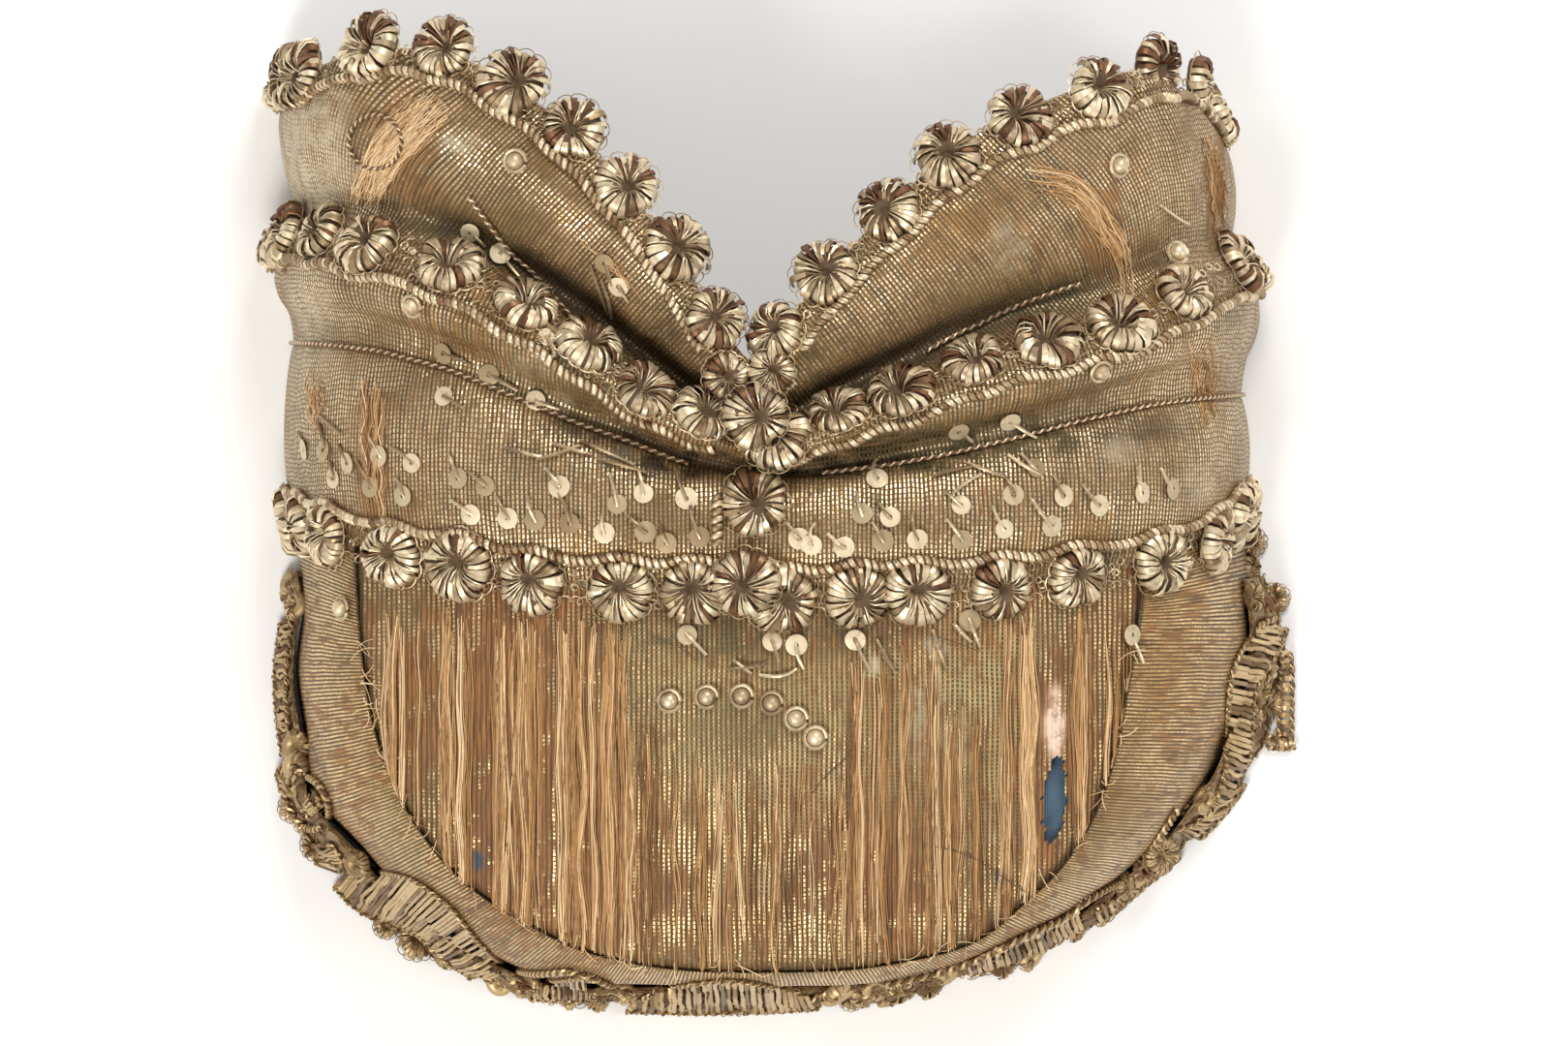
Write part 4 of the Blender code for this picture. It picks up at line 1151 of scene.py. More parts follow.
def metal_look(name, bright, dull, spots, roughness, metallic):
    """Gilt strip and wire, each its own tone, tarnished in spots. The lowest tones are copper brown."""
    look = Look(name)
    where = look.where("Object")
    tone = look.tone()
    gold = look.mix(look.ramp(tone, 0.12, 0.62), dull, bright)
    fine = look.noise(where, 420.0, 4.0, 0.7)
    gold = look.mix(look.times(look.ramp(fine, 0.52, 0.72), 0.65), gold, OLD_GOLD)
    brown = look.noise(where, 130.0, 3.0, 0.6)
    spotted = look.times(look.ramp(brown, 0.56, 0.66), look.ramp(tone, 0.75, 0.35, 0.0, 1.0))
    gold = look.mix(look.times(spotted, spots), gold, COPPER)
    gold = look.mix(look.ramp(tone, 0.13, 0.08, 0.0, 0.9), gold, COPPER)
    rough = look.ramp(fine, 0.35, 0.7, roughness, roughness + 0.22)
    return look.finish(gold, rough, metallic, look.bump(fine, 0.00006, 0.35))


def core_look():
    """Dark, dull stuffing."""
    look = Look("dark_core")
    fine = look.noise(look.where("Object"), 700.0, 3.0)
    colour = look.mix(fine, (0.05, 0.028, 0.014), (0.16, 0.10, 0.05))
    return look.finish(colour, 0.8, 0.1, look.bump(fine, 0.0001))


def blue_look():
    """Blue cloth with a pale cross weave."""
    look = Look("blue_cloth")
    across, along = look.threads()
    first = look.math("SINE", look.times(look.plus(across, along), tau / BLUE_WEAVE))
    second = look.math("SINE", look.times(look.less(across, along), tau / BLUE_WEAVE))
    weave = look.ramp(look.times(first, second), 0.35, 0.9)
    worn = look.noise(look.where("Object"), 300.0, 3.0)
    base = look.mix(worn, (0.018, 0.055, 0.105), (0.05, 0.12, 0.19))
    colour = look.mix(look.times(weave, 0.8), base, (0.42, 0.50, 0.55))
    return look.finish(colour, 0.85, 0.0, look.bump(weave, 0.00008, 0.6), sheen=0.3)


CLOTH_LOOK = striped_look("striped_cloth", pitch=0.00086, dash=0.00094, worn=0.38, orange=SILK)
BAND_LOOK = striped_look(
    "striped_band", pitch=0.00078, dash=0.00074, worn=0.46, orange=BAND_SILK, dark=0.85, pale=WARM_GOLD,
    bloom=0.2,
)
PANEL_LOOK = striped_look(
    "striped_panel", pitch=0.00098, dash=0.00084, worn=0.49, orange=PANEL_SILK, dark=0.7, pale=WARM_GOLD,
    bloom=0.25,
)
GILT = metal_look(
    "gilt_lace", (0.81, 0.68, 0.48), (0.34, 0.24, 0.135), spots=0.8, roughness=0.44, metallic=0.85,
)
DULL = metal_look(
    "dull_lace", (0.56, 0.41, 0.225), (0.17, 0.10, 0.045), spots=0.5, roughness=0.42, metallic=0.80,
)
SPANGLE = metal_look(
    "sequins", (0.66, 0.55, 0.38), (0.34, 0.25, 0.135), spots=0.2, roughness=0.50, metallic=0.35,
)
CORE = core_look()
LOOSE_SILK = strand_look("loose_silk", (0.09, 0.032, 0.008), (0.74, 0.41, 0.15))
BLUE = blue_look()


# The cloth pieces

def tiers():
    """The folded tiers: ends, edges, lift and grid, depth and seed of the crinkles, lean of the stripes."""
    left, right = (-1, 0), (0, 1)
    for name, ends, edges, lift, grid, depth, seed, lean in (
        ("lower_tier", (-1, 1), ("lower", "groove"), lower_lift, (240, 28), 0.0003, 3, 0.0),
        ("middle_tier_left", left, ("groove", "middle"), middle_lift, (120, 34), 0.0004, 4, 0.25),
        ("middle_tier_right", right, ("groove", "middle"), middle_lift, (120, 34), 0.0004, 5, 0.15),
        ("upper_tier_left", left, ("middle", "upper"), upper_lift, (130, 56), 0.0005, 6, 0.78),
        ("upper_tier_right", right, ("middle", "upper"), upper_lift, (130, 56), 0.0005, 7, 0.66),
    ):
        tier(name, ends, edges, lift, grid, depth, seed, lean)


def in_tear(x, y):
    """Whether a place in plan is inside the tear, whose edge is ragged."""
    across = x - TEAR_SPOT[0] * HALF_WIDTH_RIGHT
    along = y - TEAR_SPOT[1] * PANEL_LENGTH
    across = across - TEAR_SLANT * along
    ragged = 1 + 0.18 * waves(along, across, 0.0035, 0.02, 11)
    return (2 * across / TEAR_WIDTH) ** 2 + (2 * along / TEAR_LENGTH) ** 2 < ragged**2 * 0.95


def back_panel():
    """The U-shaped closed end, with the tear cut out."""
    def where(u, v):
        seam, _ = band_section(u)
        top = edge(seam[..., 0] / side_width(seam[..., 0]), "lower")
        lowest = np.minimum(seam[..., 1], top - WALL)
        return seam[..., 0], lowest + (top - lowest) * v

    def near_seam(x, y):
        """1 on the seam with the side band, 0 away from it."""
        away = np.hypot(x[..., None] - SEAM_X, y[..., None] - SEAM_Y).min(axis=-1)
        return np.exp(-((away / CREASE_WIDTH) ** 2))

    def place(u, v, wall):
        x, y = where(u, v)
        fine = CRINKLE * waves(x, y, 0.004, 0.05, 21) * smooth(v * 8) * smooth((1 - v) * 8)
        return np.stack([x, y, panel_height(x, y) + fine - CREASE_DEPTH * near_seam(x, y) - wall], -1)

    # Painted shade, darkest along the crease at the seam with the side band.
    def depth(u, v):
        return 0.4 + 0.6 * near_seam(*where(u, v))

    cloth("back_panel", 200, 90, place, where, PANEL_LOOK, "loose_silk", hole=in_tear, depth=depth)


def tear_patch():
    """The blue cloth under the tear."""
    x, y = TEAR_SPOT[0] * HALF_WIDTH_RIGHT, TEAR_SPOT[1] * PANEL_LENGTH
    wide, long = TEAR_WIDTH / 2 + PATCH_MARGIN, TEAR_LENGTH / 2 + PATCH_MARGIN

    def where(u, v):
        return x + wide * (2 * u - 1), y + long * (2 * v - 1)

    def place(u, v, wall):
        at_x, at_y = where(u, v)
        under = panel_height(at_x, at_y) - WALL - 1.5 * CLEARANCE
        return np.stack([at_x, at_y, under - (PATCH_THICKNESS if wall else 0.0)], -1)

    cloth("tear_patch", 12, 30, place, where, BLUE, "blue_cloth")


def side_band():
    """The padded roll from the seam down to the rim."""
    def place(u, v, wall):
        points = band_point(u, v * pi / 2, wall)
        if wall:
            return points
        fine = CRINKLE * waves(u * 0.4, v * 0.05, 0.014, 0.05, 31) * np.sin(pi * v)
        roll = SEAM_ROLL * np.sin(pi * np.clip((v - 0.70) / 0.30, 0, 1)) * band_ends(u)
        return points + np.stack([0 * u, 0 * u, fine + roll], -1)

    def threads(u, v):
        seam, rim = band_section(u[:1])
        middle = (0.35 * seam + 0.65 * rim)[0]
        return np.broadcast_to(length_along(middle), u.shape), v * BAND_THREADS

    # Painted shade, darkest in the crease at the seam and towards the floor.
    def depth(u, v):
        return np.clip(0.30 + smooth((v - 0.93) / 0.07) + 0.35 * smooth((0.45 - v) / 0.4), 0, 1)

    band = cloth("side_band", 260, 40, place, threads, BAND_LOOK, "striped_cloth", depth=depth)


# The laces

def lace_spots(pixels, column, ends):
    """Spots along a lace: its pixels of the photograph, and further ones down the legs at an even pitch."""
    spots = []
    for pixel in pixels:
        x, y = plan(pixel)
        across = np.clip(x / half_width(x, y), -0.995, 0.995)
        spots.append((float(way_of(turn_at(across))), y))
    for end in ends:
        reach = way_of(turn_at(end))
        sign = np.sign(reach)
        farthest = max(spots, key=lambda spot: spot[0] * sign)[0]
        room = abs(reach) - abs(farthest) - 1.1 * ROSETTE_RADIUS
        count = max(round(room / LACE_PITCH), 0)
        for number in range(count):
            way = farthest + sign * room * (number + 1) / count
            spots.append((float(way), edge_at(way, column)))
    return sorted(spots)


def surface_of(way, y):
    """The cloth over a place of the unrolled arch, and the arch's outward direction there."""
    turn = turn_of(way)
    base, high = on_arch(turn, y, 0.0), on_arch(turn, y, SIGHT)
    out = unit(high - base)
    found = cast(high, -out, 1.6 * SIGHT)
    return (high - out * found if found is not None else base), out


def lace_line(run, spots, ends, aside, bow=0.0):
    """Points beside the middle line of a lace, on the cloth, with their outward directions."""
    middles = np.array([way for way, _ in spots])
    beyond = [way for way in ends if not middles[0] < way < middles[-1]]
    known = sorted(spots + [(way, edge_at(way, run.column)) for way in beyond])
    ways = np.arange(*ends, LINE_STEP)
    heights = np.interp(ways, *zip(*known))
    smooth_rows(heights, 7)
    slope = np.gradient(heights, ways)
    found = []
    for way, y, lean in zip(ways, heights, slope):
        near = np.abs(middles - way).min()
        away = aside + np.sign(aside) * bow * cos(tau * min(near / LACE_PITCH, 0.5))
        square = (1 + lean * lean) ** 0.5
        found.append(surface_of(way - lean / square * away, y + away / square))
    points, outs = lifted(found, 0.8 * GIMP_RADIUS)
    smooth_rows(points, 5)
    points[:, 2] = np.maximum(points[:, 2], 1.3 * GIMP_RADIUS)
    return points, outs


# The laces: the edge each follows, its ends at the floor, how far aside its gimp runs, where it stops short
# of the knot, its share of copper brown strips, and its rows of wire, as shares of the gimp's distance
FLOOR_END = 0.9995
RING_SHARES = (0.40, 0.47, 0.53, 0.60)
RING_LIFT = 0.0002
GIMP_BOW = 0.0008
CURL_RADIUS = 0.0008
CURL_STEP = 0.0019
CURL_SINK = 0.0004
THREE_WIRES, TWO_WIRES = (0.6, 0.1, -0.5), (0.6, 0.15)
LaceRun = namedtuple("LaceRun", "name pixels column ends gimp_aside stop copper wires")
LACES = table(LaceRun, (
    ("lower_lace", LOWER_ROSETTES, "lower", (-FLOOR_END, FLOOR_END), 0.0056, None, 0.12, THREE_WIRES),
    ("middle_lace_left", MIDDLE_LEFT_ROSETTES, "middle", (-FLOOR_END,), -0.0054, -0.06, 0.28, THREE_WIRES),
    ("middle_lace_right", MIDDLE_RIGHT_ROSETTES, "middle", (FLOOR_END,), -0.0054, 0.03, 0.28, THREE_WIRES),
    ("upper_lace_left", UPPER_LEFT_ROSETTES, "upper", (-FLOOR_END,), -0.0052, -0.06, 0.36, TWO_WIRES),
    ("upper_lace_right", UPPER_RIGHT_ROSETTES, "upper", (FLOOR_END,), -0.0052, 0.05, 0.36, TWO_WIRES),
))


def lace(run, seed):
    """A lace of rosettes with rings of wire between them, a gimp beside them and rows of looped wire."""
    rng = np.random.default_rng(seed)
    trim = Trim()
    spots = lace_spots(run.pixels, run.column, run.ends)
    centres = []
    for way, y in spots:
        point, out = surface_of(way, y)
        middle, facing = seat(point, out, ROSETTE_RADIUS * 0.9)
        scale = rng.uniform(0.90, 1.06)
        add_rosette(trim, ROSETTES, rng, middle, facing, scale, copper=run.copper)
        centres.append((np.array(middle), np.array(facing)))
    for (here, out), (there, _) in zip(centres, centres[1:]):
        for share in RING_SHARES:
            spot = here + (there - here) * share + rng.normal(0, 0.0013, 3)
            lift = cast(spot + out * SIGHT, -out, 2 * SIGHT)
            if lift is not None:
                spot = spot + out * (SIGHT - lift + RING_LIFT)
                add_ring(trim, rng, spot, out, rng.uniform(0.0006, 0.0009))
    reach = sorted(run.ends if run.stop is None else (*run.ends, run.stop))
    ends = [way_of(turn_at(end)) for end in (reach[0], reach[-1])]
    add_gimp(trim, rng, *lace_line(run, spots, ends, run.gimp_aside, GIMP_BOW))
    for number, share in enumerate(run.wires):
        points, outs = lace_line(run, spots, ends, share * run.gimp_aside)
        tone = 0.2 + 0.1 * number
        curls(trim.metal, points - outs * CURL_SINK, outs, CURL_RADIUS, CURL_STEP, tone, seed + number)
    trim.pieces(run.name)


def node_seat(name):
    """Middle of a solid's underside and the way it faces, from its own corners."""
    corners = np.array([vertex.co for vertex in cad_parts[name].data.vertices]) - np.array(SHIFT)
    middle = corners.mean(axis=0)
    _, _, axes = np.linalg.svd(corners - middle)
    facing = axes[2] * (1 if axes[2][2] > 0 else -1)
    lowest = ((corners - middle) @ facing).min()
    return middle + facing * lowest, facing, np.linalg.norm(corners - middle, axis=1).max()


KNOT_GIMP_COLUMN = 741
KNOT_GIMP_ROWS = (513, 562)


def knot():
    """The column of rosettes over the knot, and the short gimp beside it."""
    rng = np.random.default_rng(51)
    for number in range(1, 6):
        name = f"knot_rosette_{number}"
        trim = Trim()
        base, facing, reach = node_seat(name)
        add_rosette(trim, ROSETTES, rng, base, facing, reach / ROSETTE_RADIUS)
        trim.pieces(name)
    trim = Trim()
    found = [look_down(*plan((KNOT_GIMP_COLUMN, row))) for row in np.linspace(*KNOT_GIMP_ROWS, 12)]
    add_gimp(trim, rng, *lifted(found, 1.3 * GIMP_RADIUS), 1.15 * GIMP_RADIUS)
    trim.pieces("knot_gimp")


# Cords

def cord_over(pixels, lift):
    """A soft line over the cloth through pixels of the photograph."""
    line = resample(rounded([plan(pixel) for pixel in pixels]), 0.0007)[0]
    found = [look_down(x, y) for x, y in line]
    points, outs = lifted([hit for hit in found if hit], lift)
    smooth_rows(points, 5)
    smooth_rows(outs, 5)
    return points, outs


GROOVE_ASIDE = 0.0003
GROOVE_LIFT = 0.0006


def groove_line(start, end):
    """The seam in the groove between the lower and the middle tier."""
    ways = np.linspace(way_of(turn_at(start)), way_of(turn_at(end)), 140)
    return lifted([surface_of(way, edge_at(way, "groove") + GROOVE_ASIDE) for way in ways], GROOVE_LIFT)


WING_CORD_LEFT = ((488, 203), (520, 245), (562, 300), (600, 345))
WING_CORD_RIGHT = ((1112, 292), (1070, 305), (1010, 335), (958, 366))
LOOP_MIDDLE = (390, 147)
LOOP_RADIUS = 28
SEAM_CORD_STOP = 0.14
WING_CORD_LIFT = 0.0010
LOOP_LIFT = 0.0005
CORD_RADIUS = 0.00044
CORD_LAY = 0.0019
LOOP_CORD_RADIUS = 0.00048
LOOP_CORD_LAY = 0.0017


def cords():
    """The twisted cords of the seams, and the small loop on the left wing."""
    runs = (
        ("seam_cord_left", groove_line(-FLOOR_END, -SEAM_CORD_STOP)),
        ("seam_cord_right", groove_line(SEAM_CORD_STOP, FLOOR_END)),
        ("wing_cord_left", cord_over(WING_CORD_LEFT, WING_CORD_LIFT)),
        ("wing_cord_right", cord_over(WING_CORD_RIGHT, WING_CORD_LIFT)),
    )
    for name, line in runs:
        trim = Trim()
        twist(trim.metal, *line, CORD_RADIUS, CORD_LAY, 0.36)
        trim.pieces(name)
    batch = Batch()
    loop = circle(np.linspace(0, tau, 33), LOOP_RADIUS)[:, :2] + LOOP_MIDDLE
    twist(batch, *cord_over(loop, LOOP_LIFT), LOOP_CORD_RADIUS, LOOP_CORD_LAY, 0.20)
    batch.piece("cord_loop", GILT, "gilt_lace")


# Studs and sequins

# The dome's radius and its ring's, as shares of a stud's diameter, and the ring's bullion
DOME_SHARE = 0.36
RING_SHARE = 0.47
STUD_RING_HEIGHT = 0.0005
STUD_RING_RADIUS = 0.00042
STUD_RING_WIRE = 0.00011
# Rings of a dome from the top down and of a sequin, as shares of the radius and the height
STUD_PROFILE = ((0.1, 1.04), (0.4, 1.0), (0.72, 0.85), (0.93, 0.55), (1.0, 0.25), (1.0, 0.0))
SEQUIN_PROFILE = ((0.20, 5.0), (0.92, 5.0), (1.0, 4.6), (0.92, 4.0), (0.20, 4.0))


def studs():
    """Domed studs, each in a ring of bullion."""
    rng = np.random.default_rng(61)
    for number in range(1, 13):
        name = f"stud_{number}"
        base, facing, _ = node_seat(name)
        axes = frame_of(facing)
        trim = Trim()
        dome, faces = lathe(STUD_PROFILE, DOME_SHARE * STUD_DIAMETER, STUD_HEIGHT, 20)
        trim.metal.add(place_shape(dome, base, axes), faces, rng.uniform(0.3, 0.6))
        ring = circle(np.linspace(0, tau * 0.94, 40), RING_SHARE * STUD_DIAMETER, STUD_RING_HEIGHT)
        ring = place_shape(ring, base, axes)
        coil(trim.metal, ring, axes[2], STUD_RING_RADIUS, STUD_RING_WIRE, rng.uniform(0.3, 0.6))
        trim.pieces(name)


def sequin(plates, rng, pixel):
    """A flat disc with a hole, lying a little askew on the cloth. Returns its middle."""
    found = look_down(*plan(pixel))
    middle, facing = seat(found[0], found[1], SEQUIN_RADIUS)
    tilt = Vector(rng.normal(0, 0.10, 3))
    axes = frame_of(np.array((facing + tilt).normalized()), rng.normal(size=3))
    radius = SEQUIN_RADIUS * rng.uniform(0.92, 1.05)
    corners, faces = lathe(SEQUIN_PROFILE, radius, SEQUIN_THICKNESS, 24, looped=True)
    plates.add(place_shape(corners, middle, axes), faces, rng.uniform(0.1, 1.0))
    return middle


def stitch(stitches, rng, start, end, above):
    """A stitch of bullion from start to end in plan. It leaves the height above and ends on the cloth."""
    line = []
    bend = rng.normal(0, 0.0004)
    for share in np.linspace(0, 1, 7):
        x = start[0] + (end[0] - start[0]) * share - bend * sin(pi * share)
        y = start[1] + (end[1] - start[1]) * share + bend * sin(pi * share)
        under = look_down(x, y)
        height = (under[0].z if under else 0.0) + STITCH_RADIUS + 0.0007 * sin(pi * share)
        line.append((x, y, max(height, above * (1 - 2 * share) if share < 0.5 else height)))
    line = np.array(line)
    coil(stitches, line, (0.0, 0.0, 1.0), STITCH_RADIUS, WIRE, rng.uniform(0.15, 0.6))


def sequins():
    """The sequins with their stitches, and the stitches that hold nothing."""
    rng = np.random.default_rng(71)
    plates, stitches = Batch(), Batch()
    for heading, pixels in SEQUINS:
        for pixel in pixels:
            middle = sequin(plates, rng, pixel)
            length = rng.uniform(18, 34) * PIXEL
            angle = radians(rng.normal(heading, 18))
            start = (middle.x - 0.0004 * cos(angle), middle.y - 0.0004 * sin(angle))
            end = (middle.x + length * cos(angle), middle.y + length * sin(angle))
            stitch(stitches, rng, start, end, middle.z + 0.0005)
    for start, end in STITCHES:
        stitch(stitches, rng, plan(start), plan(end), 0.0)
    plates.piece("sequins", SPANGLE, "gilt_lace")
    stitches.piece("bullion_stitches", GILT, "gilt_lace")


# Rim lace

Fan = namedtuple("Fan", "upper lower strips")
FANS = (
    Fan(
        ((359, 901), (395, 901), (425, 905), (450, 922), (469, 937), (490, 966), (509, 989), (528, 1002)),
        ((342, 920), (360, 940), (384, 954), (406, 960), (428, 964), (447, 983), (464, 999), (484, 1015)),
        46,
    ),
    Fan(((299, 642), (291, 705), (299, 783)), ((285, 645), (277, 705), (287, 783)), 26),
    Fan(
        ((301, 815), (318, 812), (331, 826), (333, 846)),
        ((310, 836), (314, 836), (318, 840), (316, 846)),
        14,
    ),
    Fan(
        ((338, 872), (348, 880), (352, 893), (346, 904)),
        ((318, 874), (318, 880), (320, 888), (324, 896)),
        12,
    ),
    Fan(
        ((652, 1041), (679, 1022), (718, 1013), (762, 1009), (799, 1017), (836, 1033)),
        ((645, 1049), (680, 1050), (720, 1051), (760, 1050), (800, 1049), (846, 1046)),
        32,
    ),
    Fan(
        ((1302, 648), (1284, 667), (1271, 694), (1268, 726), (1268, 759), (1269, 791), (1258, 824)),
        (
            (1334, 650), (1321, 676), (1302, 700), (1295, 722), (1294, 743), (1294, 765), (1289, 802),
            (1271, 832),
        ),
        32,
    ),
    Fan(((1325, 676), (1327, 700), (1325, 765)), ((1337, 676), (1339, 700), (1338, 768)), 15),
    Fan(((1312, 765), (1326, 760), (1340, 766)), ((1314, 774), (1326, 776), (1342, 774)), 8),
    Fan(((1255, 834), (1238, 850), (1218, 858)), ((1290, 812), (1270, 842), (1243, 870)), 13),
    Fan(((1200, 905), (1170, 918), (1135, 940)), ((1222, 888), (1172, 930), (1140, 958)), 15),
    Fan(
        ((1110, 938), (1080, 955), (1040, 972), (1000, 992)),
        ((1118, 962), (1084, 984), (1045, 1000), (1004, 1012)),
        22,
    ),
    Fan(((545, 1016), (575, 1012), (600, 1008)), ((548, 1034), (575, 1034), (602, 1036)), 16),
)
RIM_ROSETTES = (
    ((429, 973), 21), ((593, 1021), 21), ((299, 836), 15), ((312, 852), 12), ((322, 875), 15),
    ((1293, 589), 16), ((1321, 618), 14), ((1313, 728), 16), ((1235, 828), 22), ((1199, 884), 20),
    ((543, 1019), 11), ((1155, 930), 14), ((1316, 650), 12), ((1297, 560), 14), ((620, 1030), 12),
    ((395, 960), 12), ((880, 1034), 13), ((930, 1022), 13),
)
RIM_CORDS = (
    ((296, 808), (318, 800), (338, 816), (342, 842), (328, 860), (305, 856), (291, 832), (296, 808)),
    ((308, 800), (300, 792), (288, 802), (290, 818)),
    (
        (1215, 834), (1194, 868), (1176, 899), (1155, 910), (1123, 926), (1097, 947), (1058, 962),
        (1011, 988), (966, 1002),
    ),
    ((528, 1002), (560, 1004), (590, 998), (622, 1010), (650, 1028)),
    ((836, 1033), (880, 1020), (925, 1012), (966, 1002)),
    ((1302, 648), (1310, 640), (1322, 640)),
)
RUFFLE_LEAST = 0.62
RUFFLE_SWELL = 0.30
RIM_TUFTS = 165
TUFT_SPACE = 0.0036
FAN_RISE = 0.0008
FAN_LIFT = 0.0005
FAN_CORD_LIFT = 0.0006
RIM_CORD_LIFT = 0.0009
# Cords by radius, lay and tone, and rows of looped wire by radius, step and tone
FAN_CORD = (0.00055, 0.0021, 0.5)
RIM_CORD = (0.0008, 0.0028, 0.45)
FOOT_CORD = (0.0005, 0.0020, 0.45)
FAN_CURLS = (0.0006, 0.0017, 0.4)
RIM_CURLS = (0.0007, 0.0018, 0.35)
# Rows of wire over the rim lace, as shares of its height and of its depth there
RIM_ROWS = ((0.04, 0.97), (0.35, 0.80), (0.68, 0.55), (1.0, 0.12))
# Least heights over the floor
TUFT_CLEAR = 0.0028
WIRE_CLEAR = 0.0014
CORD_CLEAR = 0.0008


def rim_point(at, share, stand):
    """Points of the rim lace: share of the way up, standing out from the band."""
    at = np.asarray(at, float)
    seam, rim = band_section(at)
    height = panel_height(seam[..., 0], seam[..., 1])
    rise = RIM_LACE_RISE * band_value(at, "rise") * share
    power = BAND_END_FULLNESS + (BAND_FULLNESS - BAND_END_FULLNESS) * band_ends(at)
    angle = np.arcsin(np.minimum((rise / height) ** (power / 2), 1.0))
    bulge = BAND_PUFF * np.sin(2 * angle) ** 2 * band_ends(at)
    run = np.linalg.norm(rim - seam, axis=-1) * np.cos(angle) ** (2 / power) + bulge
    flat = seam + unit(rim - seam) * (run + 2 * CLEARANCE + stand)[..., None]
    return np.concatenate([flat, rise[..., None]], -1)


def rim_depth(at):
    """How far the rim lace stands out. It thins out at its two ends."""
    ends = 0.35 + 0.65 * smooth((at - RIM_LACE_START) / 0.02) * smooth((1 - RIM_LACE_START - at) / 0.02)
    return RIM_LACE_DEPTH * band_value(at, "depth") * ends


def ruffled(at):
    """1 where a ruffle of the rim lace bulges, 0 between two."""
    return 0.5 + 0.5 * np.cos(tau * RIM_LACE_RUFFLES * (at - RIM_LACE_START) / (1 - 2 * RIM_LACE_START))


def rim_ground(batch, rng):
    """The thick ground of the rim lace, uneven and finely ribbed. Returns a tree of its outside."""
    columns, rows = 500, 8
    places = np.linspace(RIM_LACE_START, 1 - RIM_LACE_START, columns + 1)
    at, share = np.meshgrid(places, np.linspace(0, 1, rows + 1))
    ruffle = ruffled(at)
    depth = rim_depth(at) * (RUFFLE_LEAST + RUFFLE_SWELL * ruffle)
    uneven = 0.0005 * waves(at * 0.42, share * 0.018, 0.006, 0.006, 83)
    height = share * (0.88 + 0.12 * ruffle)
    top = rim_point(at, height, depth * (1 - 0.75 * share) * (0.9 + 0.25 * np.sin(pi * share)) + uneven)
    under = rim_point(at, height, 0 * at)
    top[..., 2] = np.maximum(top[..., 2], 0.0)
    faces = wall_faces(np.ones((rows, columns), bool)).tolist()
    corners = np.concatenate([top.reshape(-1, 3), under.reshape(-1, 3)])
    ribs = np.tile(np.repeat(rng.uniform(0.11, 0.32, columns // 2 + 1), 2)[:columns + 1], rows + 1)
    batch.add(corners, faces, np.concatenate([ribs, ribs]))
    return BVHTree.FromPolygons(corners.tolist(), faces)


def spread(pixels, count):
    """Even places in plan along a soft line through pixels of the photograph."""
    line = rounded([plan(pixel) for pixel in pixels])
    run = length_along(line)
    at = np.linspace(0, run[-1], count)
    return np.column_stack([np.interp(at, run, line[:, i]) for i in range(2)])


def rim_top(x, y, outside):
    """The top of the rim lace or of the cloth beside it, in plan."""
    found = look_down(x, y, (outside,))
    if found is None:
        return np.array((x, y, 0.0006)), np.array((0.0, 0.0, 1.0))
    facing = Vector(found[1]) + Vector((0.0, 0.0, 0.6))
    return np.array(found[0]), np.array(facing.normalized())


def fan(batch, rng, shape, outside):
    """Flat strips side by side from one line to another, arched over the ground. Returns their middles."""
    uppers, lowers = spread(shape.upper, shape.strips), spread(shape.lower, shape.strips)
    step = np.linalg.norm(uppers[-1] - uppers[0]) / shape.strips
    step = max(step, np.linalg.norm(np.diff(uppers, axis=0), axis=1).mean())
    middles = []
    for upper, lower in zip(uppers, lowers):
        line, facings = [], []
        slip = rng.normal(0, 0.00018, 2)
        reach = rng.uniform(0.94, 1.02)
        for share in np.linspace(0, 1, 7):
            x, y = upper + (lower - upper) * share * reach + slip
            spot, facing = rim_top(x, y, outside)
            line.append(spot + facing * (FAN_LIFT + FAN_RISE * sin(pi * share) ** 0.7))
            facings.append(facing)
        line = np.array(line)
        for _ in range(4):
            line[1:-1, 2] = np.maximum(line[1:-1, 2], (line[:-2, 2] + line[2:, 2]) / 2)
        roll = (uppers[-1] - uppers[0]) / np.linalg.norm(uppers[-1] - uppers[0]) * rng.uniform(-0.35, 0.35)
        facings = np.array(facings) + np.array((roll[0], roll[1], 0.0))
        wide = step * rng.uniform(0.38, 0.47)
        batch.add(*sweep(line, facings, wide, STRIP_THICKNESS, STRIP_SECTION), rng.beta(2.0, 2.0))
        middles += [line[1], line[3], line[5]]
    return middles


def rim_run(pixels, outside, lift):
    """A line along the rim lace through pixels of the photograph, with the ways that its places face."""
    line = resample(rounded([plan(pixel) for pixel in pixels]), 0.0008)[0]
    points, facings = lifted([rim_top(x, y, outside) for x, y in line], lift)
    smooth_rows(points, 3)
    return points, facings


def rim_tufts(trim, rng, outside, taken):
    """Half rosettes side by side along the rim, where no fan lies."""
    places = np.linspace(RIM_LACE_START + 0.008, 1 - RIM_LACE_START - 0.008, RIM_TUFTS)
    for number, at in enumerate(places):
        share = (0.12, 0.55, 0.85)[number % 3]
        depth = 0.8 * rim_depth(at)
        spot = rim_point(at, share, depth * (1 - 0.75 * share))
        if taken and np.linalg.norm(np.array(taken) - spot, axis=1).min() < TUFT_SPACE:
            continue
        seam, rim = band_section(at)
        out = unit(rim - seam)
        facing = unit(np.array((out[0], out[1], rng.uniform(0.3, 1.6))))
        ahead = np.array((-out[1], out[0], 0.0)) * rng.choice((-1, 1)) + rng.normal(0, 0.5, 3)
        scale = rng.uniform(0.36, 0.56)
        spot[2] = max(spot[2], TUFT_CLEAR)
        spot = spot - facing * 0.0006
        add_rosette(trim, HALF_ROSETTES, rng, spot, facing, scale, wires=False, ahead=ahead, copper=0.1)


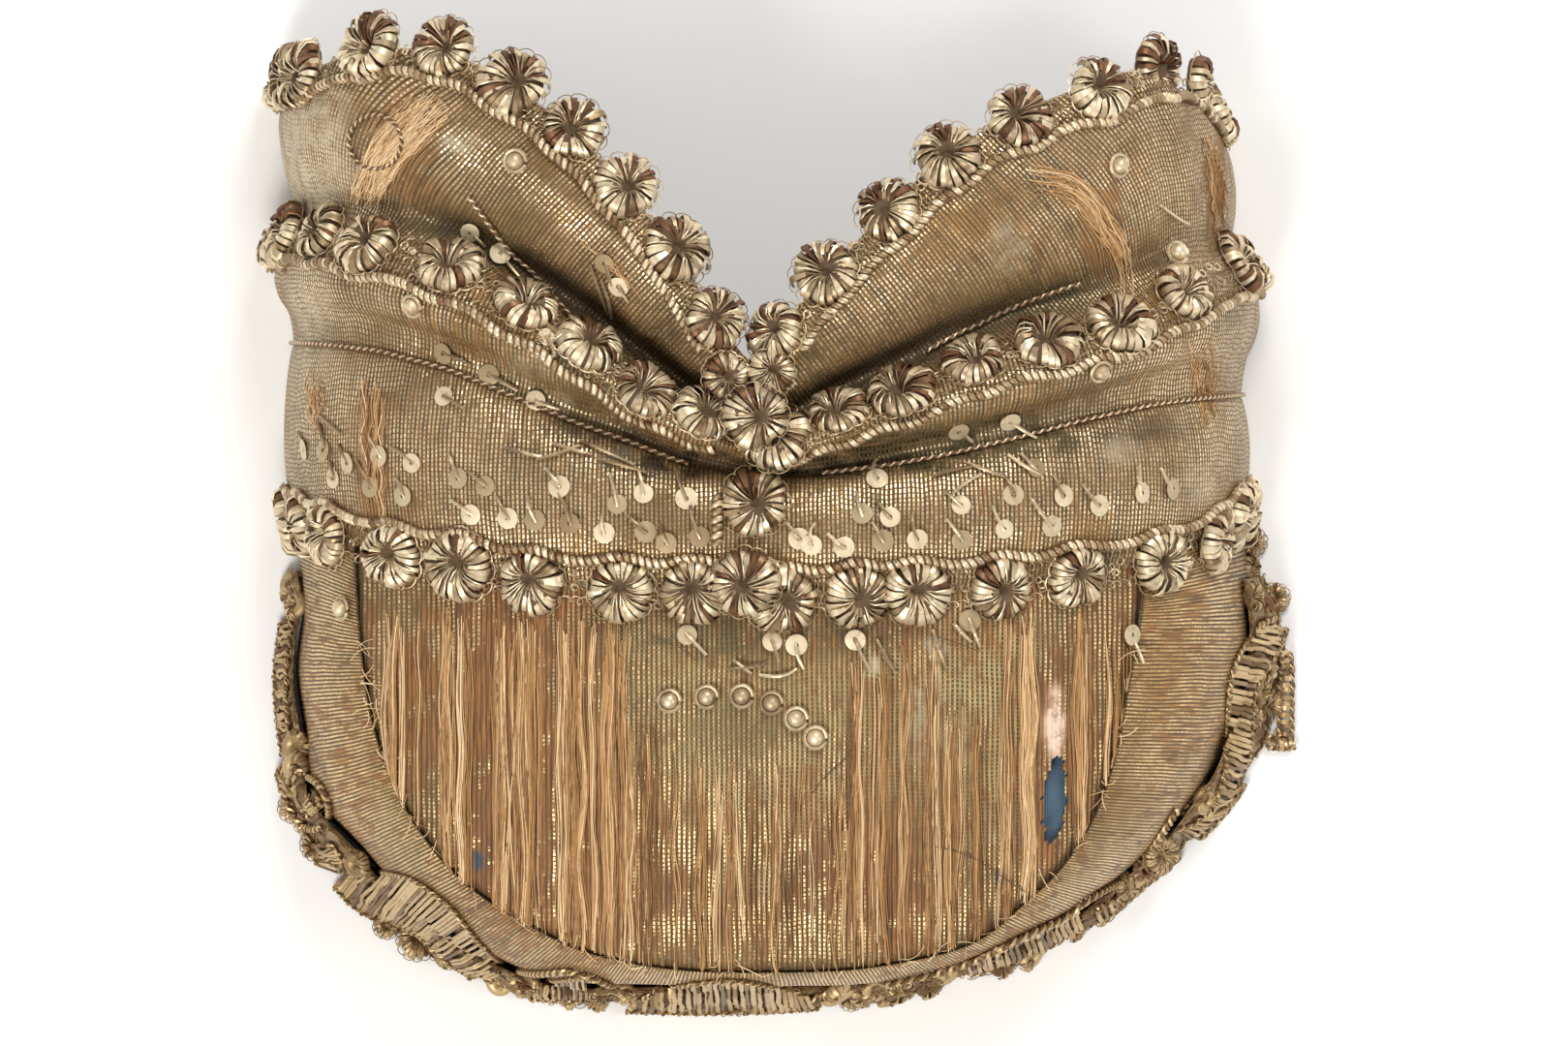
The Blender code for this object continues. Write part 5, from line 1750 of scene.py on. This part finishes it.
def rim_lace():
    """The rim lace: its ground, fans, rosettes, cords, half rosettes, and rows of looped wire."""
    rng = np.random.default_rng(81)
    trim, cords, wires = Trim(), Batch(), Batch()
    outside = rim_ground(trim.core, rng)
    taken = []
    for shape in FANS:
        taken += fan(trim.metal, rng, shape, outside)
        for side in (shape.upper, shape.lower):
            line = rim_run(side, outside, FAN_CORD_LIFT)
            twist(cords, *line, *FAN_CORD)
            curls(wires, *line, *FAN_CURLS, 84)
    for pixel, radius in RIM_ROSETTES:
        spot, facing = rim_top(*plan(pixel), outside)
        add_rosette(trim, ROSETTES, rng, spot, facing, radius * PIXEL / ROSETTE_RADIUS, copper=0.12)
        taken.append(spot)
    for line in RIM_CORDS:
        twist(cords, *rim_run(line, outside, RIM_CORD_LIFT), *RIM_CORD)
    rim_tufts(trim, rng, outside, taken)
    places = np.linspace(RIM_LACE_START, 1 - RIM_LACE_START, 700)
    ruffles = ruffled(places)
    depths = rim_depth(places) * (RUFFLE_LEAST + RUFFLE_SWELL * ruffles)
    seam, rim = band_section(places)
    facing = np.column_stack([unit(rim - seam), 0.6 + 0 * places])
    for share, part in RIM_ROWS:
        points = rim_point(places, share * (0.88 + 0.12 * ruffles), depths * part + 0.0003)
        points[:, 2] = np.maximum(points[:, 2], WIRE_CLEAR)
        curls(wires, points, facing, *RIM_CURLS, 86)
    points = rim_point(places, RIM_ROWS[0][0] + 0 * places, depths * RIM_ROWS[0][1])
    points[:, 2] = np.maximum(points[:, 2], CORD_CLEAR)
    twist(cords, points, facing, *FOOT_CORD)
    trim.metal.piece("rim_lace_metal", DULL, "dull_lace", ("rim_lace",))
    for part, batch in (("ground", trim.core), ("cords", cords), ("wires", wires)):
        batch.piece("rim_lace_" + part, DULL, "dull_lace")


# Loose silk

Bundle = namedtuple("Bundle", "left right top bottom count pale")
SEAM_FIBRES = 90
CLUMP_PITCH = 7
STRAND_LIFT = 0.0002
STRAND_RISE = 0.0006
CURL_LIFT = 0.0004
SEAM_ROUND = slice(40, 360)
BUNDLES = (
    Bundle(380, 475, 640, 900, 110, 0.45),
    Bundle(470, 575, 650, 985, 240, 0.55),
    Bundle(570, 655, 650, 990, 200, 0.62),
    Bundle(650, 725, 760, 990, 80, 0.50),
    Bundle(720, 870, 800, 990, 120, 0.50),
    Bundle(875, 970, 680, 990, 150, 0.52),
    Bundle(965, 1050, 740, 970, 90, 0.50),
    Bundle(1040, 1066, 640, 930, 70, 0.60),
    Bundle(1110, 1134, 640, 890, 60, 0.60),
    Bundle(1128, 1168, 660, 840, 40, 0.5),
)
# Bundles of bare silk over the tiers: the middle line in pixels, its width in pixels, strands, and how pale
SilkRun = namedtuple("SilkRun", "line wide count pale")
SILK_RUNS = (
    SilkRun(((456, 104), (430, 130), (405, 155), (388, 180), (374, 214)), 38, 130, 0.92),
    SilkRun(((440, 96), (410, 118), (392, 140), (380, 170)), 30, 30, 0.50),
    SilkRun(((1060, 185), (1098, 190), (1122, 208), (1142, 240), (1160, 262), (1164, 306)), 26, 60, 0.86),
    SilkRun(((386, 392), (384, 440), (386, 500), (390, 545)), 22, 30, 0.55),
    SilkRun(((1252, 140), (1258, 190), (1262, 240)), 22, 26, 0.60),
    SilkRun(((600, 240), (625, 262), (650, 290), (668, 316)), 12, 10, 0.5),
    SilkRun(((1240, 350), (1246, 400), (1250, 440)), 24, 24, 0.65),
    SilkRun(((320, 380), (322, 420), (324, 450)), 20, 16, 0.6),
)
HAIRS = (
    ((668, 652), (690, 664), (706, 668), (722, 684)),
    ((965, 872), (1000, 880), (1028, 900), (1062, 922)),
    ((838, 818), (852, 798), (868, 788), (880, 770)),
    ((960, 655), (985, 662), (1010, 672)),
)


def strand(batch, rng, points, pale):
    """One loose thread along points, where they are apart."""
    keep = np.concatenate(([True], np.linalg.norm(np.diff(points, axis=0), axis=1) > 1e-4))
    points = points[keep]
    if len(points) < 4:
        return
    thick = rng.uniform(0.00005, 0.00012)
    batch.add(*sweep(points, (0, 0, 1.0), thick, thick, ROUND_3), np.clip(rng.normal(pale, 0.24), 0, 1))


def panel_silk(batch, rng):
    """Strands of the panel in clumps with gaps between, each clump painted lighter in its middle and darker
    at its edges.
    """
    for bundle in BUNDLES:
        clumps = max(int((bundle.right - bundle.left) / CLUMP_PITCH), 2)
        middles = np.sort(rng.uniform(bundle.left, bundle.right, clumps))
        tones = np.clip(rng.normal(bundle.pale, 0.25, clumps), 0.05, 1.0)
        bends = rng.integers(1, 10**6, clumps)
        for _ in range(bundle.count):
            clump = rng.integers(clumps)
            aside = rng.normal(0, 0.38)
            column = middles[clump] + aside * CLUMP_PITCH
            top = bundle.top + rng.uniform(-15, 60)
            bottom = bundle.bottom + rng.uniform(-60, 20)
            x, low = plan((column, bottom))
            _, high = plan((column, top))
            share = np.linspace(0, 1, 14)
            y = high + (low - high) * share
            x = x + 0.0006 * waves(y, 0 * y, 0.03, 1, int(bends[clump]), 3)
            x = x + 0.0002 * waves(y, 0 * y, 0.02, 1, int(rng.integers(1e6)), 2)
            seam_y = np.interp(x, SEAM_X[SEAM_ROUND], SEAM_Y[SEAM_ROUND])
            over = rng.uniform(-0.0008, 0.0009)
            y = np.maximum(y, seam_y + over)
            curl = np.exp(-((y - seam_y) / 0.0015) ** 2)
            loose = rng.uniform(0.0, STRAND_RISE) * np.sin(pi * share) ** 0.5
            height = panel_height(x, y) + STRAND_LIFT + loose + CURL_LIFT * curl
            # Painted light and shade: strands in a clump's middle are lighter and those at its edges darker,
            # so the clump looks round.
            strand(batch, rng, np.column_stack([x, y, height]), tones[clump] + 0.12 - 0.55 * abs(aside))


def seam_fibres(batch, rng):
    """Short fibres lying every way across the seam of the panel and the side band."""
    for _ in range(SEAM_FIBRES):
        i = rng.integers(30, len(SEAM_X) - 30)
        length, heading = rng.uniform(0.002, 0.006), rng.uniform(0, pi)
        bend = rng.normal(0, 0.6)
        share = np.linspace(-0.5, 0.5, 9)
        angle = heading + bend * share
        x = SEAM_X[i] + length * share * np.cos(angle) + rng.normal(0, 0.0006)
        y = SEAM_Y[i] + length * share * np.sin(angle) + rng.normal(0, 0.0006)
        found = [look_down(*place) for place in zip(x, y)]
        if all(found):
            height = np.array([hit[0].z for hit in found]) + 0.0003
            strand(batch, rng, np.column_stack([x, y, np.maximum(height, height.mean())]), 0.9)


def run_silk(batch, rng):
    """Bundles of bare silk over the tiers."""
    for run in SILK_RUNS:
        middle = spread(run.line, 18)
        ahead = unit(np.gradient(middle, axis=0))
        side = np.column_stack([-ahead[:, 1], ahead[:, 0]])
        for _ in range(run.count):
            aside = rng.uniform(-0.5, 0.5) * run.wide * PIXEL
            share = np.linspace(0, 1, len(middle))
            sway = 0.0005 * waves(share * 0.05, 0 * share, 0.012, 1, int(rng.integers(1e6)), 3)
            flat = middle + side * (aside * (1.25 - 0.5 * share + rng.normal(0, 0.2) * share) + sway)[:, None]
            flat = flat[rng.integers(0, 7):len(flat) - rng.integers(0, 7)]
            found = [look_down(x, y) for x, y in flat]
            if all(found):
                height = np.array([hit[0].z for hit in found]) + rng.uniform(0.0002, 0.0006)
                strand(batch, rng, np.column_stack([flat, height]), run.pale)


def silk():
    """All the loose silk, and a few dark hairs."""
    rng = np.random.default_rng(91)
    batch = Batch()
    panel_silk(batch, rng)
    seam_fibres(batch, rng)
    run_silk(batch, rng)
    batch.piece("loose_silk", LOOSE_SILK, "loose_silk")
    hairs = Batch()
    for line in HAIRS:
        hairs.add(*sweep(*cord_over(line, 0.0006), 0.00010, 0.00010, ROUND_4), 0.2)
    hairs.piece("hairs", CORE, "loose_silk")


seam_line, _ = band_section(np.linspace(0.0, 1.0, 400))
SEAM_X, SEAM_Y = seam_line[:, 0], seam_line[:, 1]
tiers()
back_panel()
side_band()
tear_patch()
ROSETTES = [rosette_shape(seed) for seed in range(9)]
HALF_ROSETTES = [rosette_shape(seed, petals=11, span=0.6 * tau, steps=5) for seed in range(20, 24)]
for number, run in enumerate(LACES):
    lace(run, 40 + number)
knot()
cords()
studs()
sequins()
rim_lace()
silk()
camera()
studio()
